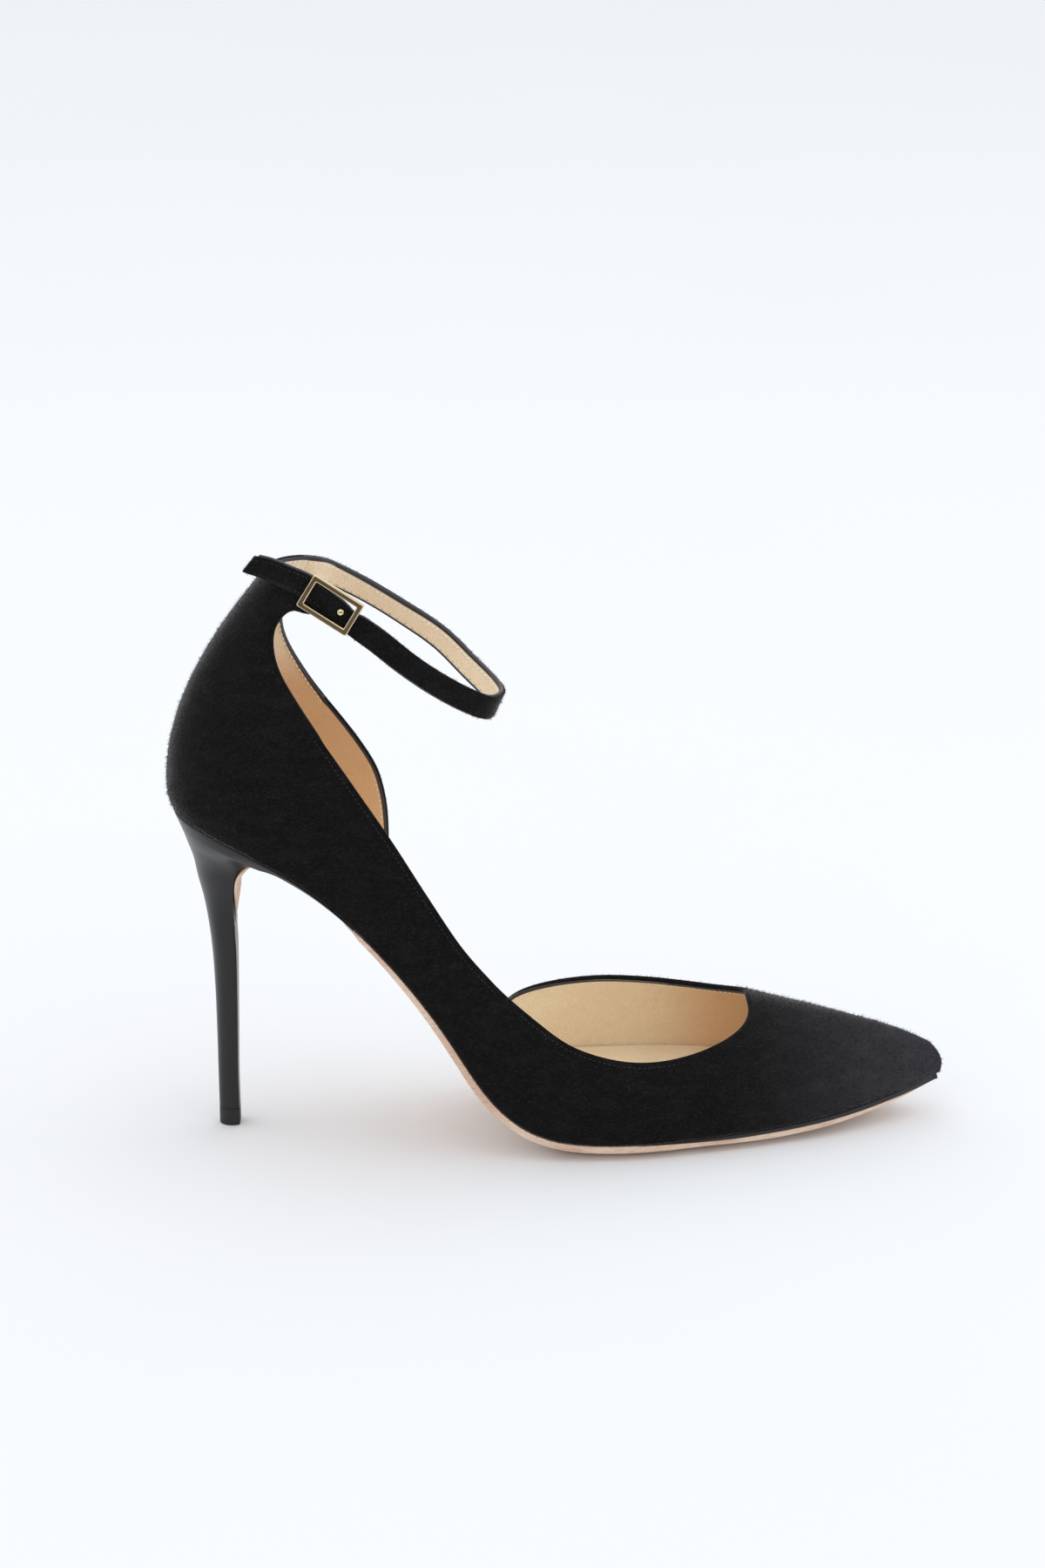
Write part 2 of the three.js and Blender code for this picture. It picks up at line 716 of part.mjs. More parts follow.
/** The heel: a thin wing under the seat that gathers into a slim column. */
function heelSolid() {
  const stations = shares(heelPoints).map((share) => {
    const behind = (share - wingShare) / (1 - wingShare);
    return share < wingShare ? stationAt(wingEnd) * (1 - share / wingShare) : -behind;
  });
  const seatRing = (inset, drop) => {
    const side = (sign) => stations.map((station) => {
      const edge = lastPoint(sign, station, 0, inset);
      return edge.setZ(edge.z - drop);
    });
    return [...side(-1), ...side(1).reverse()];
  };
  const rings = heelRows.map((row) => {
    const rear = row.rear * seatWidth;
    const side = (sign) => shares(heelPoints).map((share) => {
      const { x, y } = heelOutline(rear, row.front * seatWidth, row.half * seatWidth, share);
      const z = row.back * heelHeight + row.slope * (featherZ(x) - featherZ(rear));
      return new THREE.Vector3(x, sign * y, z);
    });
    return [...side(-1), ...side(1).reverse()];
  });
  const foot = columnRing(heelTipHeight + clearance);
  const block = loft([seatRing(0, clearance), seatRing(clearance, wingDepth), ...rings, foot]);
  const line = breastFace.map((row) => new THREE.Vector3(row.x, 0, row.z));
  const ahead = pivot + seatWidth;
  const cut = [
    ...line,
    new THREE.Vector3(ahead, 0, line[line.length - 1].z),
    new THREE.Vector3(ahead, 0, line[0].z),
  ];
  return solidOf(block).subtract(sideCutter(cut, -seatWidth, seatWidth));
}

/** Rounded rectangle round the origin. */
function roundedRectangle(Path, width, height, radius) {
  const x = width / 2;
  const y = height / 2;
  const path = new Path();
  path.moveTo(radius - x, -y);
  path.lineTo(x - radius, -y);
  path.absarc(x - radius, radius - y, radius, -Math.PI / 2, 0);
  path.lineTo(x, y - radius);
  path.absarc(x - radius, y - radius, radius, 0, Math.PI / 2);
  path.lineTo(radius - x, y);
  path.absarc(radius - x, y - radius, radius, Math.PI / 2, Math.PI);
  path.lineTo(-x, radius - y);
  path.absarc(radius - x, radius - y, radius, Math.PI, 3 * Math.PI / 2);
  return path;
}

/** The buckle's frame, lying on the outside of the strap. */
function buckleGeometry() {
  const outer = [buckleLength, buckleWidth].map((size) => size - 2 * buckleEdge);
  const inner = outer.map((size) => size - 2 * buckleBar + 4 * buckleEdge);
  const shape = roundedRectangle(THREE.Shape, ...outer, buckleCorner);
  shape.holes.push(roundedRectangle(THREE.Path, ...inner, buckleCorner));
  return new THREE.ExtrudeGeometry(shape, {
    depth: buckleThickness - 2 * buckleEdge,
    bevelThickness: buckleEdge,
    bevelSize: buckleEdge,
    bevelSegments: 1,
    curveSegments: 3,
  });
}

/** Places a geometry on the strap, its Z pointing out and its X along the strap. */
function placeOnStrap(geometry, share, lift) {
  const { centre, along, up, inward } = strapFrame(share);
  const basis = new THREE.Matrix4().makeBasis(along.clone().negate(), up, inward.clone().negate());
  const seat = centre.clone().addScaledVector(inward, -lift);
  return geometry.applyMatrix4(basis.setPosition(seat));
}

/** Round pin along the strap's outward direction. */
function pin(radius, from, to, share) {
  const geometry = new THREE.CylinderGeometry(radius, radius, to - from, pinSides);
  geometry.rotateX(Math.PI / 2);
  geometry.translate(0, 0, (from + to) / 2);
  return placeOnStrap(geometry, share, 0);
}

/** The strap with the hole that the stud passes through. */
function ankleStrapSolid() {
  const hole = pin(studDiameter / 2 + clearance, -strapThickness, strapThickness, studShare);
  return solidOf(strapSolid(strapWidth, strapThickness)).subtract(solidOf(hole));
}

/** Named mesh with its colour, roughness and metalness. */
function piece(name, geometry, color, roughness, metalness = 0) {
  const mesh = new THREE.Mesh(geometry, new THREE.MeshStandardMaterial({ color, roughness, metalness }));
  mesh.name = name;
  return mesh;
}

const studTop = strapThickness / 2 + studHeight;
const stud = pin(studDiameter / 2, -strapThickness / 2, studTop, studShare);
const frame = placeOnStrap(buckleGeometry(), buckleShare, strapThickness / 2 + clearance);
const shoe = new THREE.Group();
shoe.add(
  piece('upper', geometryOf(upperSolid()), 0x17161a, 0.95),
  piece('insole', insoleGeometry(), 0xcfac84, 0.6),
  piece('outsole', outsoleGeometry(), 0xd8b8a2, 0.55),
  piece('heel', geometryOf(heelSolid()), 0x1b1a1c, 0.35),
  piece('heel_tip', loft([columnRing(0), columnRing(heelTipHeight)]), 0x101012, 0.5),
  piece('ankle_strap', geometryOf(ankleStrapSolid()), 0x17161a, 0.95),
  piece('buckle_frame', frame, 0xcdb389, 0.25, 1),
  piece('buckle_stud', stud, 0xd9c39a, 0.2, 1),
);

const box = new THREE.Box3().setFromObject(shoe);
shoe.position.set(-(box.min.x + box.max.x) / 2, -(box.min.y + box.max.y) / 2, -box.min.z);

export default shoe;
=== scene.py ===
"""Looks of a pointed suede pump for the right foot, on a slim high heel, with an ankle strap.

Every measure is in millimetres of the shoe itself: the origin is on the floor under the middle of the
heel's tip, +X runs towards the toe, +Y towards the inner side of the foot and +Z up.  `Place` turns
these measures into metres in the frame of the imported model.
"""

import logging
import math
from dataclasses import dataclass
from enum import Enum
from typing import Callable, Sequence, Union

import bmesh
import bpy
import numpy as np
from mathutils import Matrix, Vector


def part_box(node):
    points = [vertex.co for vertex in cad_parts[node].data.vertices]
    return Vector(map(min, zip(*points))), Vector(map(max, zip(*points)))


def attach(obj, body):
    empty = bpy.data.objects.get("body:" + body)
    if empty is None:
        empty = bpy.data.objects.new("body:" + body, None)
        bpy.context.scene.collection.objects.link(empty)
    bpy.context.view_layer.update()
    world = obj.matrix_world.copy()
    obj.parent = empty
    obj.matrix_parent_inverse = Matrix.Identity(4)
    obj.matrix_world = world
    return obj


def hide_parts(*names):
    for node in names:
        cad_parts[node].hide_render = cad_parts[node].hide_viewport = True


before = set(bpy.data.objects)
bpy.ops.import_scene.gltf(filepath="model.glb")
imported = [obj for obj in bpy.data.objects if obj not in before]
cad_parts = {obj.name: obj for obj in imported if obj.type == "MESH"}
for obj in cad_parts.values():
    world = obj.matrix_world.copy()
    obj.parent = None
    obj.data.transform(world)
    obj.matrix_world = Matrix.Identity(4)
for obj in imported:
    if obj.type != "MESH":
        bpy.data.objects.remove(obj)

Array = np.ndarray
Numbers = Union[float, Array]
Rows = Sequence[Sequence[float]]
Faces = list[tuple[int, ...]]
Runs = list[tuple[Array, Array, Array]]
Piece = bpy.types.Object
Material = bpy.types.Material
Value = Union["Socket", float]
Colour = tuple[float, float, float]
log = logging.getLogger("pump")
BODY = "root"


class Side(Enum):
    """The two sides of the foot."""

    OUTER = -1
    INNER = 1


# Numbers and curves


class Spline:
    """Natural cubic spline through one column of a table."""

    def __init__(self, x: Sequence[float], y: Sequence[float]) -> None:
        """Solves the bends of the spline.

        Args:
            x: Places of the rows, rising.
            y: Values of the rows.
        """
        self.x = np.array(x, float)
        self.y = np.array(y, float)
        gap = np.diff(self.x)
        system = np.eye(len(self.x))
        turn = np.zeros(len(self.x))
        for i in range(1, len(self.x) - 1):
            system[i, i - 1 : i + 2] = gap[i - 1], 2 * (gap[i - 1] + gap[i]), gap[i]
            ahead = (self.y[i + 1] - self.y[i]) / gap[i]
            turn[i] = 6 * (ahead - (self.y[i] - self.y[i - 1]) / gap[i - 1])
        self.bend = np.linalg.solve(system, turn)

    def __call__(self, at: Numbers) -> Array:
        """Value of the spline.

        Args:
            at: Places to read it at.

        Returns:
            The values at those places.
        """
        at = np.asarray(at, float)
        k = np.clip(np.searchsorted(self.x, at, side="right") - 1, 0, len(self.x) - 2)
        span = self.x[k + 1] - self.x[k]
        a = (self.x[k + 1] - at) / span
        b = 1 - a
        lift = ((a**3 - a) * self.bend[k] + (b**3 - b) * self.bend[k + 1]) * span * span / 6
        return a * self.y[k] + b * self.y[k + 1] + lift


def splines(rows: Rows) -> list[Spline]:
    """One spline for each column of a table after its first, over its first."""
    table = np.array(rows, float)
    return [Spline(table[:, 0], table[:, i]) for i in range(1, table.shape[1])]


class SmoothPath:
    """Centripetal curve that runs evenly through points."""

    def __init__(self, points: Array) -> None:
        """Keeps the points, with one more beyond each end.

        Args:
            points: The points, one row each.
        """
        points = np.asarray(points, float)
        first, last = 2 * points[0] - points[1], 2 * points[-1] - points[-2]
        self.points = np.vstack([first, points, last])
        self.count = len(points)

    def at(self, share: Numbers) -> Array:
        """Points of the curve.

        Args:
            share: Shares of the way, from 0 to 1; each row takes an equal part of it.

        Returns:
            One point for each share.
        """
        knot = np.atleast_1d(np.asarray(share, float)) * (self.count - 1)
        row = np.clip(np.floor(knot).astype(int), 0, self.count - 2)
        w = (knot - row)[:, None]
        a, b, c, d = (self.points[row + i] for i in range(4))
        gaps = [np.linalg.norm(q - p, axis=1, keepdims=True) ** 0.5 for p, q in ((a, b), (b, c), (c, d))]
        before, middle, after = gaps
        start = ((b - a) / before - (c - a) / (before + middle) + (c - b) / middle) * middle
        end = ((c - b) / middle - (d - b) / (middle + after) + (d - c) / after) * middle
        return b + start * w + (3 * (c - b) - 2 * start - end) * w**2 + (2 * (b - c) + start + end) * w**3

    def along(self, share: Numbers) -> Array:
        """Unit directions of the curve at shares of the way.

        Args:
            share: Shares, from 0 to 1.

        Returns:
            One direction for each.
        """
        share = np.atleast_1d(np.asarray(share, float))
        step = 1e-4
        return unit(self.at(share + step) - self.at(share - step))


def unit(vectors: Array) -> Array:
    """Vectors of length one."""
    return vectors / np.maximum(np.linalg.norm(vectors, axis=-1, keepdims=True), 1e-12)


def smoothstep(at: Array, low: float, high: float) -> Array:
    """Soft step from 0 at a low value to 1 at a high one."""
    share = np.clip((np.asarray(at, float) - low) / (high - low), 0, 1)
    return share * share * (3 - 2 * share)


def eased(steps: int) -> Array:
    """Shares from 0 to 1 that draw together towards 1."""
    share = np.linspace(0, 1, steps + 1)
    return share + (1 - (1 - share) ** 2 - share) * share**3


def lengths(points: Array) -> Array:
    """Distance along a line of points, at each of them."""
    return np.concatenate([[0], np.cumsum(np.linalg.norm(np.diff(points, axis=0), axis=1))])


def resampled(points: Array, pitch: float, *others: Array) -> list[Array]:
    """Spreads points evenly along their line.

    Args:
        points: The line.
        pitch: Distance between the new points.
        others: Further rows, one for each point, to spread in the same way.

    Returns:
        The new points, then the other rows.
    """
    run = lengths(points)
    at = np.linspace(0, run[-1], max(2, round(run[-1] / pitch) + 1))
    return [np.stack([np.interp(at, run, rows[:, i]) for i in range(rows.shape[1])], 1) for rows in (points, *others)]


def softened(rows: Array, window: int) -> Array:
    """Averages each row with its neighbours, and keeps both ends.

    Args:
        rows: The rows.
        window: How many neighbours count on each side.

    Returns:
        The softened rows.
    """
    if len(rows) < 2 * window + 3:
        return rows
    weights = np.hanning(2 * window + 3)[1:-1]
    weights /= weights.sum()
    lead = 2 * rows[0] - rows[window:0:-1]
    tail = 2 * rows[-1] - rows[-2 : -window - 2 : -1]
    padded = np.vstack([lead, rows, tail])
    return np.stack([np.convolve(padded[:, i], weights, "valid") for i in range(rows.shape[1])], 1)


def side_distance(points: Array, outline: Array) -> Array:
    """Signed distance in side view from a closed outline.

    Args:
        points: X and Z of each point.
        outline: X and Z of the outline's corners.

    Returns:
        Distances, negative inside the outline.
    """
    nearest = np.full(len(points), np.inf)
    inside = np.zeros(len(points), bool)
    for a, b in zip(outline, np.roll(outline, -1, 0)):
        edge = b - a
        share = np.clip((points - a) @ edge / max(edge @ edge, 1e-12), 0, 1)
        nearest = np.minimum(nearest, np.linalg.norm(points - a - share[:, None] * edge, axis=1))
        if a[1] != b[1]:
            crossing = a[0] + (points[:, 1] - a[1]) / edge[1] * edge[0]
            inside ^= ((a[1] > points[:, 1]) != (b[1] > points[:, 1])) & (points[:, 0] < crossing)
    return np.where(inside, -nearest, nearest)


# Meshes


@dataclass
class Patch:
    """A mesh of rows of numbers, which are points or the places of points on a surface."""

    rows: Array
    faces: Faces
    edge: Array

    @staticmethod
    def grid(rows: Array, closed: bool = False) -> "Patch":
        """Patch over a grid.

        Args:
            rows: Numbers of each point, in two directions.
            closed: Whether the second direction closes on itself.

        Returns:
            The patch, with no edge marked.
        """
        wide, deep = rows.shape[:2]
        index = np.arange(wide * deep).reshape(wide, deep)
        if closed:
            index = np.hstack([index, index[:, :1]])
        a, b, c, d = index[:-1, :-1], index[1:, :-1], index[1:, 1:], index[:-1, 1:]
        faces = np.stack([a, b, c, d], -1).reshape(-1, 4)
        flat = rows.reshape(wide * deep, -1)
        return Patch(flat, [tuple(face) for face in faces.tolist()], np.zeros(len(flat), bool))

    def cut(self, keep: Array) -> "Patch":
        """Cuts the patch where a field changes sign.

        Args:
            keep: The field at each row; what is below zero goes.

        Returns:
            The rest, its cut edge marked.
        """
        rows = list(self.rows)
        made: dict[tuple[int, int], int] = {}

        def crossing(a: int, b: int) -> int:
            """Row where the field is zero between two rows.

            Args:
                a: One row.
                b: The other.

            Returns:
                Number of the new row.
            """
            key = (min(a, b), max(a, b))
            if key not in made:
                share = keep[a] / (keep[a] - keep[b])
                made[key] = len(rows)
                rows.append(self.rows[a] + share * (self.rows[b] - self.rows[a]))
            return made[key]

        faces = []
        held = keep >= 0
        for face in self.faces:
            count = sum(held[v] for v in face)
            if count == len(face):
                faces.append(face)
            elif count:
                ring: list[int] = []
                for a, b in zip(face, face[1:] + face[:1]):
                    if held[a]:
                        ring.append(a)
                    if held[a] != held[b]:
                        ring.append(crossing(a, b))
                faces.append(tuple(ring))
        used = sorted({v for face in faces for v in face})
        new = {old: i for i, old in enumerate(used)}
        edge = np.array([v >= len(self.rows) for v in used])
        return Patch(np.array(rows)[used], [tuple(new[v] for v in face) for face in faces], edge)

    def borders(self) -> list[tuple[int, int]]:
        """Edges that only one face has, in the face's own direction.

        Returns:
            The edges.
        """
        seen: dict[tuple[int, int], tuple[int, int]] = {}
        for face in self.faces:
            for a, b in zip(face, face[1:] + face[:1]):
                key = (min(a, b), max(a, b))
                if key in seen:
                    del seen[key]
                else:
                    seen[key] = (a, b)
        return list(seen.values())


def chains(edges: list[tuple[int, int]]) -> list[list[int]]:
    """Joins directed edges end to end into runs of rows.

    Args:
        edges: The edges.

    Returns:
        The runs.
    """
    after = dict(edges)
    starts = [a for a in after if a not in set(after.values())]
    runs = []
    while after:
        at = starts.pop() if starts else next(iter(after))
        run = [at]
        while at in after:
            at = after.pop(at)
            run.append(at)
        runs.append(run)
    return runs


class Place:
    """The shoe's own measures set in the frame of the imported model."""

    low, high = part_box("heel_tip")
    origin = np.array([(low[0] + high[0]) / 2, (low[1] + high[1]) / 2, 0.0])

    @classmethod
    def metres(cls, points: Array) -> Array:
        """Points of the shoe in metres, in the model's frame."""
        return np.asarray(points, float) / 1000 + cls.origin


def placed(name: str, data: bpy.types.ID) -> Piece:
    """Makes an object of a mesh, a camera or a light and puts it into the scene.

    Args:
        name: Its name.
        data: Its data.

    Returns:
        The object.
    """
    made = bpy.data.objects.new(name, data)
    bpy.context.scene.collection.objects.link(made)
    return made


def mesh_piece(
    name: str, points: Array, faces: Sequence[Sequence[int]], material: Material, smooth: bool = True,
    attributes: dict[str, Array] | None = None,
) -> Piece:
    """Makes a piece of the shoe from points and faces.

    Args:
        name: Name of the piece.
        points: Points in the shoe's millimetres.
        faces: Corners of each face.
        material: Its finish.
        smooth: Whether its faces are shaded as one surface.
        attributes: Vectors or numbers for each point, by name.

    Returns:
        The object, at the frame's origin.
    """
    mesh = bpy.data.meshes.new(name)
    mesh.from_pydata(Place.metres(points).tolist(), [], [list(map(int, face)) for face in faces])
    for key, values in (attributes or {}).items():
        kind = "FLOAT_VECTOR" if values.ndim == 2 else "FLOAT"
        layer = mesh.attributes.new(key, kind, "POINT")
        layer.data.foreach_set("vector" if values.ndim == 2 else "value", np.ravel(values).astype(np.float32))
    mesh.polygons.foreach_set("use_smooth", [smooth] * len(mesh.polygons))
    mesh.materials.append(material)
    return placed(name, mesh)


def tidied(made: Piece, merge: float = 0.004, sharp: float | None = None) -> Piece:
    """Merges a piece's doubles, turns its faces outwards and marks its sharp edges.

    Args:
        made: The piece.
        merge: Distance in millimetres under which points are one.
        sharp: Angle in degrees from which an edge is sharp, if any is.

    Returns:
        The same piece.
    """
    work = bmesh.new()
    work.from_mesh(made.data)
    bmesh.ops.remove_doubles(work, verts=work.verts, dist=merge / 1000)
    bmesh.ops.dissolve_degenerate(work, edges=work.edges, dist=1e-6)
    bmesh.ops.recalc_face_normals(work, faces=work.faces)
    if sharp is not None:
        for edge in work.edges:
            edge.smooth = len(edge.link_faces) != 2 or edge.calc_face_angle(0) < math.radians(sharp)
    work.to_mesh(made.data)
    work.free()
    made.data.update()
    return made


def shell(front: Array, back: Array, patch: Patch) -> tuple[Array, Faces]:
    """Closed wall between two surfaces with one layout.

    Args:
        front: Points of the side that shows first.
        back: Points of the other side.
        patch: Their faces.

    Returns:
        Points and faces of the wall.
    """
    count = len(front)
    faces = list(patch.faces)
    faces += [tuple(v + count for v in reversed(face)) for face in patch.faces]
    faces += [(b, a, a + count, b + count) for a, b in patch.borders()]
    return np.vstack([front, back]), faces


def loft(rings: Array) -> tuple[Array, Faces]:
    """Closed solid through rings of points.

    Args:
        rings: Points of each ring, in rings of one length.

    Returns:
        Points and faces, with an end face on the first and last ring.
    """
    patch = Patch.grid(rings, closed=True)
    count = rings.shape[1]
    last = len(patch.rows) - count
    ends = [tuple(range(count)), tuple(last + i for i in reversed(range(count)))]
    return patch.rows, patch.faces + ends


def lofted(name: str, rings: Sequence[Array], material: Material, sharp: float) -> Piece:
    """Closed piece through rings of points, its sharp edges marked."""
    return tidied(mesh_piece(name, *loft(np.array(rings)), material), sharp=sharp)


# Nodes


class Socket:
    """One output of a node, for sums on the values that it carries."""

    def __init__(self, graph: "Graph", source: bpy.types.NodeSocket) -> None:
        """Keeps the output and the graph that it is in."""
        self.graph = graph
        self.source = source

    def _math(self, operation: str, *values: Value) -> "Socket":
        """Result of a Math node on values."""
        return self.graph.node("ShaderNodeMath", {"operation": operation}, dict(enumerate(values)))

    def __add__(self, other: Value) -> "Socket":
        """Sum."""
        return self._math("ADD", self, other)

    __radd__ = __add__

    def __sub__(self, other: Value) -> "Socket":
        """Difference."""
        return self._math("SUBTRACT", self, other)

    def __rsub__(self, other: float) -> "Socket":
        """Difference from a number."""
        return self._math("SUBTRACT", other, self)

    def __mul__(self, other: Value) -> "Socket":
        """Product."""
        return self._math("MULTIPLY", self, other)

    __rmul__ = __mul__

    def step(self, low: float, high: float) -> "Socket":
        """Soft step from 0 at a low value to 1 at a high one."""
        settings = {"interpolation_type": "SMOOTHSTEP"}
        return self.graph.node("ShaderNodeMapRange", settings, {"Value": self, "From Min": low, "From Max": high})


class Graph:
    """A node tree that is built from expressions."""

    def __init__(self, tree: bpy.types.NodeTree) -> None:
        """Keeps the tree and empties it."""
        self.tree = tree
        tree.nodes.clear()

    def node(
        self,
        kind: str,
        settings: dict[str, object] | None = None,
        inputs: dict[Union[str, int], object] | None = None,
        output: Union[str, int] = 0,
    ) -> Socket:
        """Makes one node.

        Args:
            kind: Type of the node.
            settings: Its properties, set first.
            inputs: Values or links of its sockets, by name or number.
            output: Name or number of the output that is wanted.

        Returns:
            That output.
        """
        made = self.tree.nodes.new(kind)
        for key, value in (settings or {}).items():
            setattr(made, key, value)
        for key, value in (inputs or {}).items():
            socket = made.inputs[key]
            if isinstance(value, Socket):
                self.tree.links.new(value.source, socket)
            else:
                socket.default_value = value
        return Socket(self, made.outputs[output] if made.outputs else None)

    def noise(self, at: Socket, scale: float, detail: float = 2.0, stretch: Sequence[float] = (1, 1, 1)) -> Socket:
        """Noise on a place, with its scale per metre."""
        moved = self.node("ShaderNodeMapping", None, {"Vector": at, "Scale": tuple(stretch)})
        return self.node("ShaderNodeTexNoise", None, {"Vector": moved, "Scale": scale, "Detail": detail})

    def blend(self, share: Union[Socket, float], first: object, second: object) -> Socket:
        """Mix of two colours."""
        settings = {"data_type": "RGBA", "clamp_factor": True}
        return self.node("ShaderNodeMix", settings, {0: share, 6: first, 7: second}, 2)

    def bump(self, height: Socket, depth: float, strength: float = 1.0) -> Socket:
        """Normal of a relief whose height is in shares of a depth in millimetres."""
        values = {"Height": height, "Distance": depth / 1000, "Strength": strength}
        return self.node("ShaderNodeBump", None, values)


def solid(colour: Colour) -> tuple[float, float, float, float]:
    """Colour with its full alpha, as a socket takes it."""
    return (*colour, 1.0)


def linear(red: int, green: int, blue: int) -> Colour:
    """Colour for the shader from display values of 0 to 255."""
    parts = [value / 255 for value in (red, green, blue)]
    return tuple(v / 12.92 if v <= 0.04045 else ((v + 0.055) / 1.055) ** 2.4 for v in parts)


@dataclass(frozen=True)
class Finish:
    """A surface with its plain shader values."""

    name: str
    colour: Colour
    roughness: float = 0.5
    metallic: float = 0.0
    specular: float = 0.5
    sheen: float = 0.0
    sheen_roughness: float = 0.5
    sheen_tint: Colour = (1.0, 1.0, 1.0)

    def dress(self, graph: Graph, at: Socket) -> dict[str, Socket]:
        """What varies over the surface: links by socket name. A plain finish has none."""
        return {}

    def material(self) -> Material:
        """Makes the material.

        Returns:
            The material, with its constants on the shader's own sockets.
        """
        material = bpy.data.materials.new(self.name)
        material.use_nodes = True
        graph = Graph(material.node_tree)
        at = graph.node("ShaderNodeTexCoord", output="Object")
        values: dict[Union[str, int], object] = {
            "Base Color": solid(self.colour),
            "Roughness": self.roughness,
            "Metallic": self.metallic,
            "Specular IOR Level": self.specular,
            "Sheen Weight": self.sheen,
            "Sheen Roughness": self.sheen_roughness,
            "Sheen Tint": solid(self.sheen_tint),
        }
        values.update(self.dress(graph, at))
        shader = graph.node("ShaderNodeBsdfPrincipled", None, values)
        graph.node("ShaderNodeOutputMaterial", None, {"Surface": shader})
        return material


@dataclass(frozen=True)
class Suede(Finish):
    """Black goat suede: a short nap, brushed in strokes that catch the light."""

    # Paler colour of the fibre tips, also the colour of a painted sheen towards the toe; brushed sets that sheen's
    # strength.
    fibre_tips_and_painted_light: Colour = linear(58, 57, 61)
    brushed: float = 0.9

    def dress(self, graph: Graph, at: Socket) -> dict[str, Socket]:
        """Nap, brush strokes, the lighter tips of its fibres and a painted sheen that lightens the toe.

        Args:
            graph: The material's tree.
            at: Object coordinates.

        Returns:
            Links by socket name.
        """
        fibre = graph.noise(at, 1500, 3, (0.6, 1.4, 1.5))
        fine = graph.noise(at, 3200, 2)
        stroke = graph.noise(at, 160, 3, (0.8, 1.0, 1.8))
        ahead = graph.node("ShaderNodeSeparateXYZ", None, {"Vector": at}, "X")
        light = 0.3 * fibre.step(0.45, 0.72) * (0.4 + 0.6 * fine) + 0.07 * stroke.step(0.42, 0.68)
        # Painted sheen: the colour turns paler towards the toe, standing in for the light that its top and tip catch.
        light = light + self.brushed * ahead.step(0.045, 0.115) * (0.7 + 0.6 * stroke)
        colour = graph.blend(light, solid(self.colour), solid(self.fibre_tips_and_painted_light))
        return {"Base Color": colour, "Normal": graph.bump(0.6 * fibre + 0.4 * fine, 0.25, 1.0)}


@dataclass(frozen=True)
class Leather(Finish):
    """Smooth leather with fine grain, pores and soft creases."""

    deep: Colour = linear(238, 212, 172)
    # Colour of the painted shade deep inside the shoe.
    painted_shade_colour: Colour = (0.75, 0.475, 0.26)
    grain: float = 1500.0
    relief: float = 0.2

    def dress(self, graph: Graph, at: Socket) -> dict[str, Socket]:
        """Grain, pores, slow changes of its tan and painted shade where little light reaches.

        Args:
            graph: The material's tree.
            at: Object coordinates.

        Returns:
            Links by socket name.
        """
        cells = graph.node("ShaderNodeTexVoronoi", {"feature": "DISTANCE_TO_EDGE"}, {"Vector": at, "Scale": self.grain})
        pores = cells.step(0.0, 0.22)
        cloud = graph.noise(at, 40, 3)
        streak = graph.noise(at, 260, 3, (1.0, 1.0, 1.3))
        share = 0.15 * cloud.step(0.35, 0.75) + 0.12 * streak.step(0.42, 0.7) + 0.5 * (1 - pores)
        # Painted shade: a point attribute darkens and warms the colour where little light reaches inside the shoe.
        painted_shade = graph.node("ShaderNodeAttribute", {"attribute_name": "painted_shade"}, output="Fac")
        colour = graph.blend(share, solid(self.colour), solid(self.deep))
        colour = graph.blend(painted_shade, colour, solid(self.painted_shade_colour))
        relief = 0.6 * pores + 0.4 * streak
        return {
            "Base Color": colour,
            "Roughness": self.roughness - 0.08 + 0.16 * cloud,
            "Normal": graph.bump(relief, self.relief, 0.7),
        }


@dataclass(frozen=True)
class SoleLeather(Finish):
    """Vegetable-tanned sole leather: pink beige, with faint fibres and pale clouds."""

    deep: Colour = linear(196, 152, 128)

    def dress(self, graph: Graph, at: Socket) -> dict[str, Socket]:
        """Fibres along the edge and pale clouds.

        Args:
            graph: The material's tree.
            at: Object coordinates.

        Returns:
            Links by socket name.
        """
        fibre = graph.noise(at, 700, 3, (0.5, 0.5, 3.0))
        cloud = graph.noise(at, 55, 3)
        share = 0.45 * fibre.step(0.4, 0.75) + 0.45 * cloud.step(0.4, 0.7)
        colour = graph.blend(share, solid(self.colour), solid(self.deep))
        return {"Base Color": colour, "Normal": graph.bump(fibre, 0.04, 0.6)}


@dataclass(frozen=True)
class Lacquer(Finish):
    """Satin lacquer on the heel, with the faint waves of a brushed coat."""

    def dress(self, graph: Graph, at: Socket) -> dict[str, Socket]:
        """Slow waves and a fine orange peel.

        Args:
            graph: The material's tree.
            at: Object coordinates.

        Returns:
            Links by socket name.
        """
        wave = graph.noise(at, 90, 2, (1.0, 1.0, 0.25))
        peel = graph.noise(at, 1400, 1)
        return {
            "Roughness": self.roughness - 0.04 + 0.08 * wave,
            "Normal": graph.bump(0.8 * wave + 0.2 * peel, 0.03, 0.5),
        }


